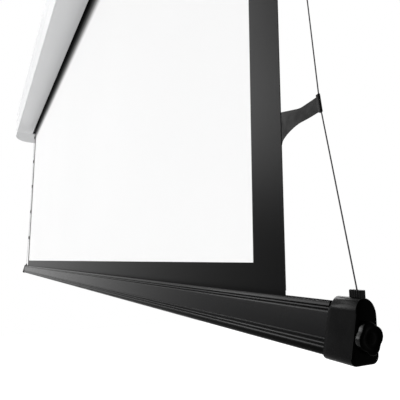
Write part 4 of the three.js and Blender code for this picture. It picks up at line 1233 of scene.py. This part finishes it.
def barLoops():
    mouth, drop, channel = bar["mouth"], bar["channelDrop"], bar["channelRadius"]
    rearTurn = math.acos(mouth / bar["rear"]) / (2 * math.pi)
    gape = math.asin(mouth / channel) / (2 * math.pi)
    outline = [
        *arc(0, -bar["archRear"], bar["rear"], bar["archRear"], 0, rearTurn, 12),
        *arc(0, -drop, channel, channel, 0.25 - gape, -0.75 + gape, 24),
        (-mouth, -bar["mouthDip"]),
    ]
    start, end = Vector((bar["bevel"] - bar["front"], 0)), Vector(onFace(bar["bevelDrop"]))
    outward = Vector((end.y - start.y, start.x - end.x)).normalized()
    for step in range(bar["bevelSteps"] + 1):
        share = step / bar["bevelSteps"]
        bulge = outward * bar["bevelBulge"] * math.sin(math.pi * share)
        outline.append(tuple(start.lerp(end, share) + bulge))
    outline += notchPoints(bar["upperNotches"])
    (upper, lower), deep = bar["line"], bar["lineDepth"]
    outline += [onFace(upper), onFace(upper, deep), onFace(lower, deep), onFace(lower)]
    outline += notchPoints(bar["lowerNotches"])
    outline += [onFace(bar["footStep"]), onFace(bar["footStep"], bar["footStepDepth"])]
    foot, rise, rear = -bar["height"], bar["footRise"], bar["rearFoot"]
    outline += arc(-bar["footFront"] + bar["footStepDepth"] + rise, foot + rise, rise, rise, 0.5, 0.75, 8)
    outline += arc(bar["rear"] - rear, foot + rear, rear, rear, 0.75, 1, 8)
    roof, floor = bar["roof"], bar["height"] - bar["floor"]
    back, wall = bar["rear"] - bar["rearWall"], bar["frontWall"]
    hollow = [(back, -roof), onFace(roof, wall), onFace(floor, wall), (back, -floor)]
    return [placed(rounded(outline, bar["edge"])), placed(rounded(hollow, bar["hollowEdge"]))]


def paintNotchShade(piece):
    # Painted shade: the floors and steps of the notches take a darker, less reflective black that stands in
    # for the shade inside them
    piece.data.materials.append(finishes["grooveBlack"])
    for face in piece.data.polygons:
        y = face.center.y / mm - datum["fabricY"]
        z = face.center.z / mm - datum["crestZ"]
        sunk = bar["notchShadeFrom"] < y - barFaceY(z) < bar["notchShadeTo"]
        if sunk and z < bar["edge"] - bar["upperNotches"][0][0] and abs(face.normal.x) < 0.5:
            face.material_index = 1


def buildBar():
    piece = extrusion("weightBar", barLoops(), bar["half"], "barPaint")
    paintNotchShade(piece)
    fit(piece, "bottom_bar", "bar_paint", "bar_extrusion")


buildBar()
print("weight bar drawn")

# Bar caps: a larger arch that swells out of the bar over a soft shoulder
cap = {
    "length": 28.7, "collar": 0.3, "shoulder": 3.0, "shoulderSteps": 12, "easeShare": 0.25, "lap": 0.9,
    "startShare": 0.95, "roundOver": 2.2, "roundSteps": 8, "rise": 4.5, "drop": 2.0, "rear": 8.8,
    "front": 11.3, "peak": -2.5, "archRear": 12.5, "archFront": 10.5, "footFront": 18.3, "footRise": 5.5,
    "rearFoot": 5.5, "pocketRadius": 7.0, "pocketDepth": 18.2, "cordHole": 1.2, "endShadeFrom": 0.3,
    "cutOver": 2.0,
}
guide = {
    "width": 11.0, "depth": 5.6, "height": 5.4, "sunk": 3.4, "fromEnd": 9.8, "ribs": 5, "ribDepth": 0.45,
    "ribShares": (0.0, 0.12, 0.3, 0.5, 0.7, 0.88), "edge": 0.6, "edgeShare": 0.3,
}
knob = {
    "radius": 11.8, "thickness": 5.0, "lobes": 4, "turn": 15.0, "scallop": 2.4, "soften": 0.05,
    "roundOver": 1.3, "roundSteps": 7, "backSteps": 3, "drop": 22.5, "centre": -4.0, "spindle": 3.0,
    "spindleLength": 17.0, "steps": 90,
    "faceRings": [  # depth behind the front, radius, share of the lobes
        (0.0, 8.116, 0.3), (0.42, 7.316, 0.2), (0.7, 6.416, 0.1), (0.7, 4.24, 0.0), (0.28, 3.54, 0.0),
        (0.1, 3.04, 0.0)],
}
sectionKeys = ("rear", "front", "archRear", "archFront", "footFront", "footRise", "rearFoot")
capStart = bar["half"] + datum["gap"]
capEnd = capStart + cap["length"]
capTop = datum["crestZ"] + cap["rise"]
guideX = capEnd - guide["fromEnd"]


def sectionOutline(size, grow=0.0):
    # An arch with a foot, as (Y, Z) points about the sheet's plane and the bar's crest
    rear, front, peak = size["rear"] + grow, size["front"] + grow, size["peak"]
    top, foot = size["top"] + grow, size["foot"] - grow
    footFront, footRise, rearFoot = size["footFront"] + grow, size["footRise"], size["rearFoot"]
    bow = size["archFront"]
    return [
        *arc(peak, top - size["archRear"], rear - peak, size["archRear"], 0, 0.25, 20),
        *arc(peak, top - bow, front + peak, bow, 0.25, 0.5, 16)[1:],
        *arc(-footFront + footRise, foot + footRise, footRise, footRise, 0.5, 0.75, 10),
        *arc(rear - rearFoot, foot + rearFoot, rearFoot, rearFoot, 0.75, 1, 10),
    ]


def paintEndShade(piece):
    # Painted shade: the faces that look along the bar take the piece's second finish, a darker and barely
    # reflective black that stands in for the shade on the ends
    for face in piece.data.polygons:
        if face.normal.x > cap["endShadeFrom"]:
            face.material_index = 1
    return piece


def capRings():
    foot = -bar["height"]
    thin = {**{key: bar[key] for key in sectionKeys}, "peak": 0.0, "top": 0.0, "foot": foot}
    full = {**{key: cap[key] for key in sectionKeys}, "peak": cap["peak"], "top": cap["rise"],
            "foot": foot - cap["drop"]}
    start = {key: thin[key] + (full[key] - thin[key]) * cap["startShare"] for key in thin}
    start["top"] = cap["lap"]
    first, last = sectionOutline(start), sectionOutline(full)
    rings = [(capStart, first)]
    for step in range(cap["shoulderSteps"] + 1):
        share = step / cap["shoulderSteps"]
        ease = share + (eased(share) - share) * cap["easeShare"]
        outline = [(a + (c - a) * ease, b + (d - b) * ease) for (a, b), (c, d) in zip(first, last)]
        rings.append((capStart + cap["collar"] + cap["shoulder"] * share, outline))
    for step in range(cap["roundSteps"] + 1):
        out, up = quarter(step, cap["roundSteps"])
        outline = sectionOutline(full, -cap["roundOver"] * (1 - up))
        rings.append((capEnd - cap["roundOver"] * (1 - out), outline))
    return [[(x, *point) for point in placed(outline)] for x, outline in rings]


def capPiece():
    piece = makePiece("barCapRight", *loft(capRings()), "blackPlastic", "endPlastic")
    over, crest, gap = cap["cutOver"], datum["crestZ"], datum["gap"]
    pocket = placed(circle((knob["centre"], -knob["drop"]), cap["pocketRadius"], 40))
    hole = circle((guideX, datum["fabricY"]), cap["cordHole"], 20)
    wide, deep = guide["width"] / 2 + gap, guide["depth"] / 2 + gap
    seat = oblong(guideX - wide, guideX + wide, datum["fabricY"] - deep, datum["fabricY"] + deep)
    carve(
        piece,
        solid("pocketCut", pocket, capEnd - cap["pocketDepth"], capEnd + over, "x"),
        solid("cordCut", hole, crest - knob["drop"], capTop + over, "z"),
        solid("seatCut", seat, capTop - guide["sunk"] - gap, capTop + over, "z"),
    )
    return smoothen(paintEndShade(piece), 40)


def guidePiece():
    # A small block with upright ribs on its long faces; the cord comes up through it
    half, deep, ribDepth = guide["width"] / 2, guide["depth"] / 2, guide["ribDepth"]
    pitch = guide["width"] / guide["ribs"]
    front = []
    for rib in range(guide["ribs"]):
        for share in guide["ribShares"]:
            swell = ribDepth * math.sin(math.pi * share)
            front.append((-half + rib * pitch + pitch * share, -deep + ribDepth - swell))
    front.append((half, -deep + ribDepth))
    outline = [*front, *((-a, -b) for a, b in front)]
    low, high, edge = capTop - guide["sunk"], capTop + guide["height"], guide["edge"]
    midEdge = edge * guide["edgeShare"]
    rows = []
    for inset, z in ((0, low), (0, high - edge), (midEdge, high - midEdge), (edge, high)):
        rows.append([(guideX + x * (1 - inset / half), datum["fabricY"] + y * (1 - inset / deep), z)
                     for x, y in outline])
    piece = makePiece("cordGuideRight", *loft(rows), "blackPlastic")
    bore = circle((guideX, datum["fabricY"]), cap["cordHole"], 20)
    over = cap["cutOver"]
    return smoothen(carve(piece, solid("boreCut", bore, low - over, high + over, "z")))


def lobed(x, radius, wave=1.0):
    ring = []
    for step in range(knob["steps"]):
        angle = 2 * math.pi * step / knob["steps"]
        beat = math.cos(knob["lobes"] / 2 * (angle - math.radians(knob["turn"])))
        reach = radius - wave * knob["scallop"] * (1 - math.sqrt(beat * beat + knob["soften"]))
        ring.append((knob["centre"] + reach * math.cos(angle), -knob["drop"] + reach * math.sin(angle)))
    return [(x, *point) for point in placed(ring)]


def knobPiece():
    near = capEnd + datum["gap"]
    far = near + knob["thickness"]
    size, soft, half = knob["radius"], knob["roundOver"], knob["roundOver"] / 2
    inside = near + datum["gap"] - knob["spindleLength"]
    rings = [lobed(x, knob["spindle"], 0) for x in (inside, near)]
    for step in range(knob["backSteps"] + 1):
        out, up = quarter(step, knob["backSteps"])
        rings.append(lobed(near + half * (1 - up), size - half * (1 - out)))
    for step in range(knob["roundSteps"] + 1):
        out, up = quarter(step, knob["roundSteps"])
        rings.append(lobed(far - soft * (1 - out), size - soft * (1 - up)))
    for depth, radius, wave in knob["faceRings"]:
        rings.append(lobed(far - depth, radius, wave))
    return smoothen(paintEndShade(makePiece("tensionKnobRight", *loft(rings), "knobPlastic", "endPlastic")), 40)


fitPair(capPiece(), "bar_cap", "bottom_bar", "black_plastic")
fitPair(guidePiece(), "cord_guide", "bottom_bar", "black_plastic")
fitPair(knobPiece(), "tension_knob", "knob_SIDE", "black_plastic")
print("caps, guides and knobs fitted")
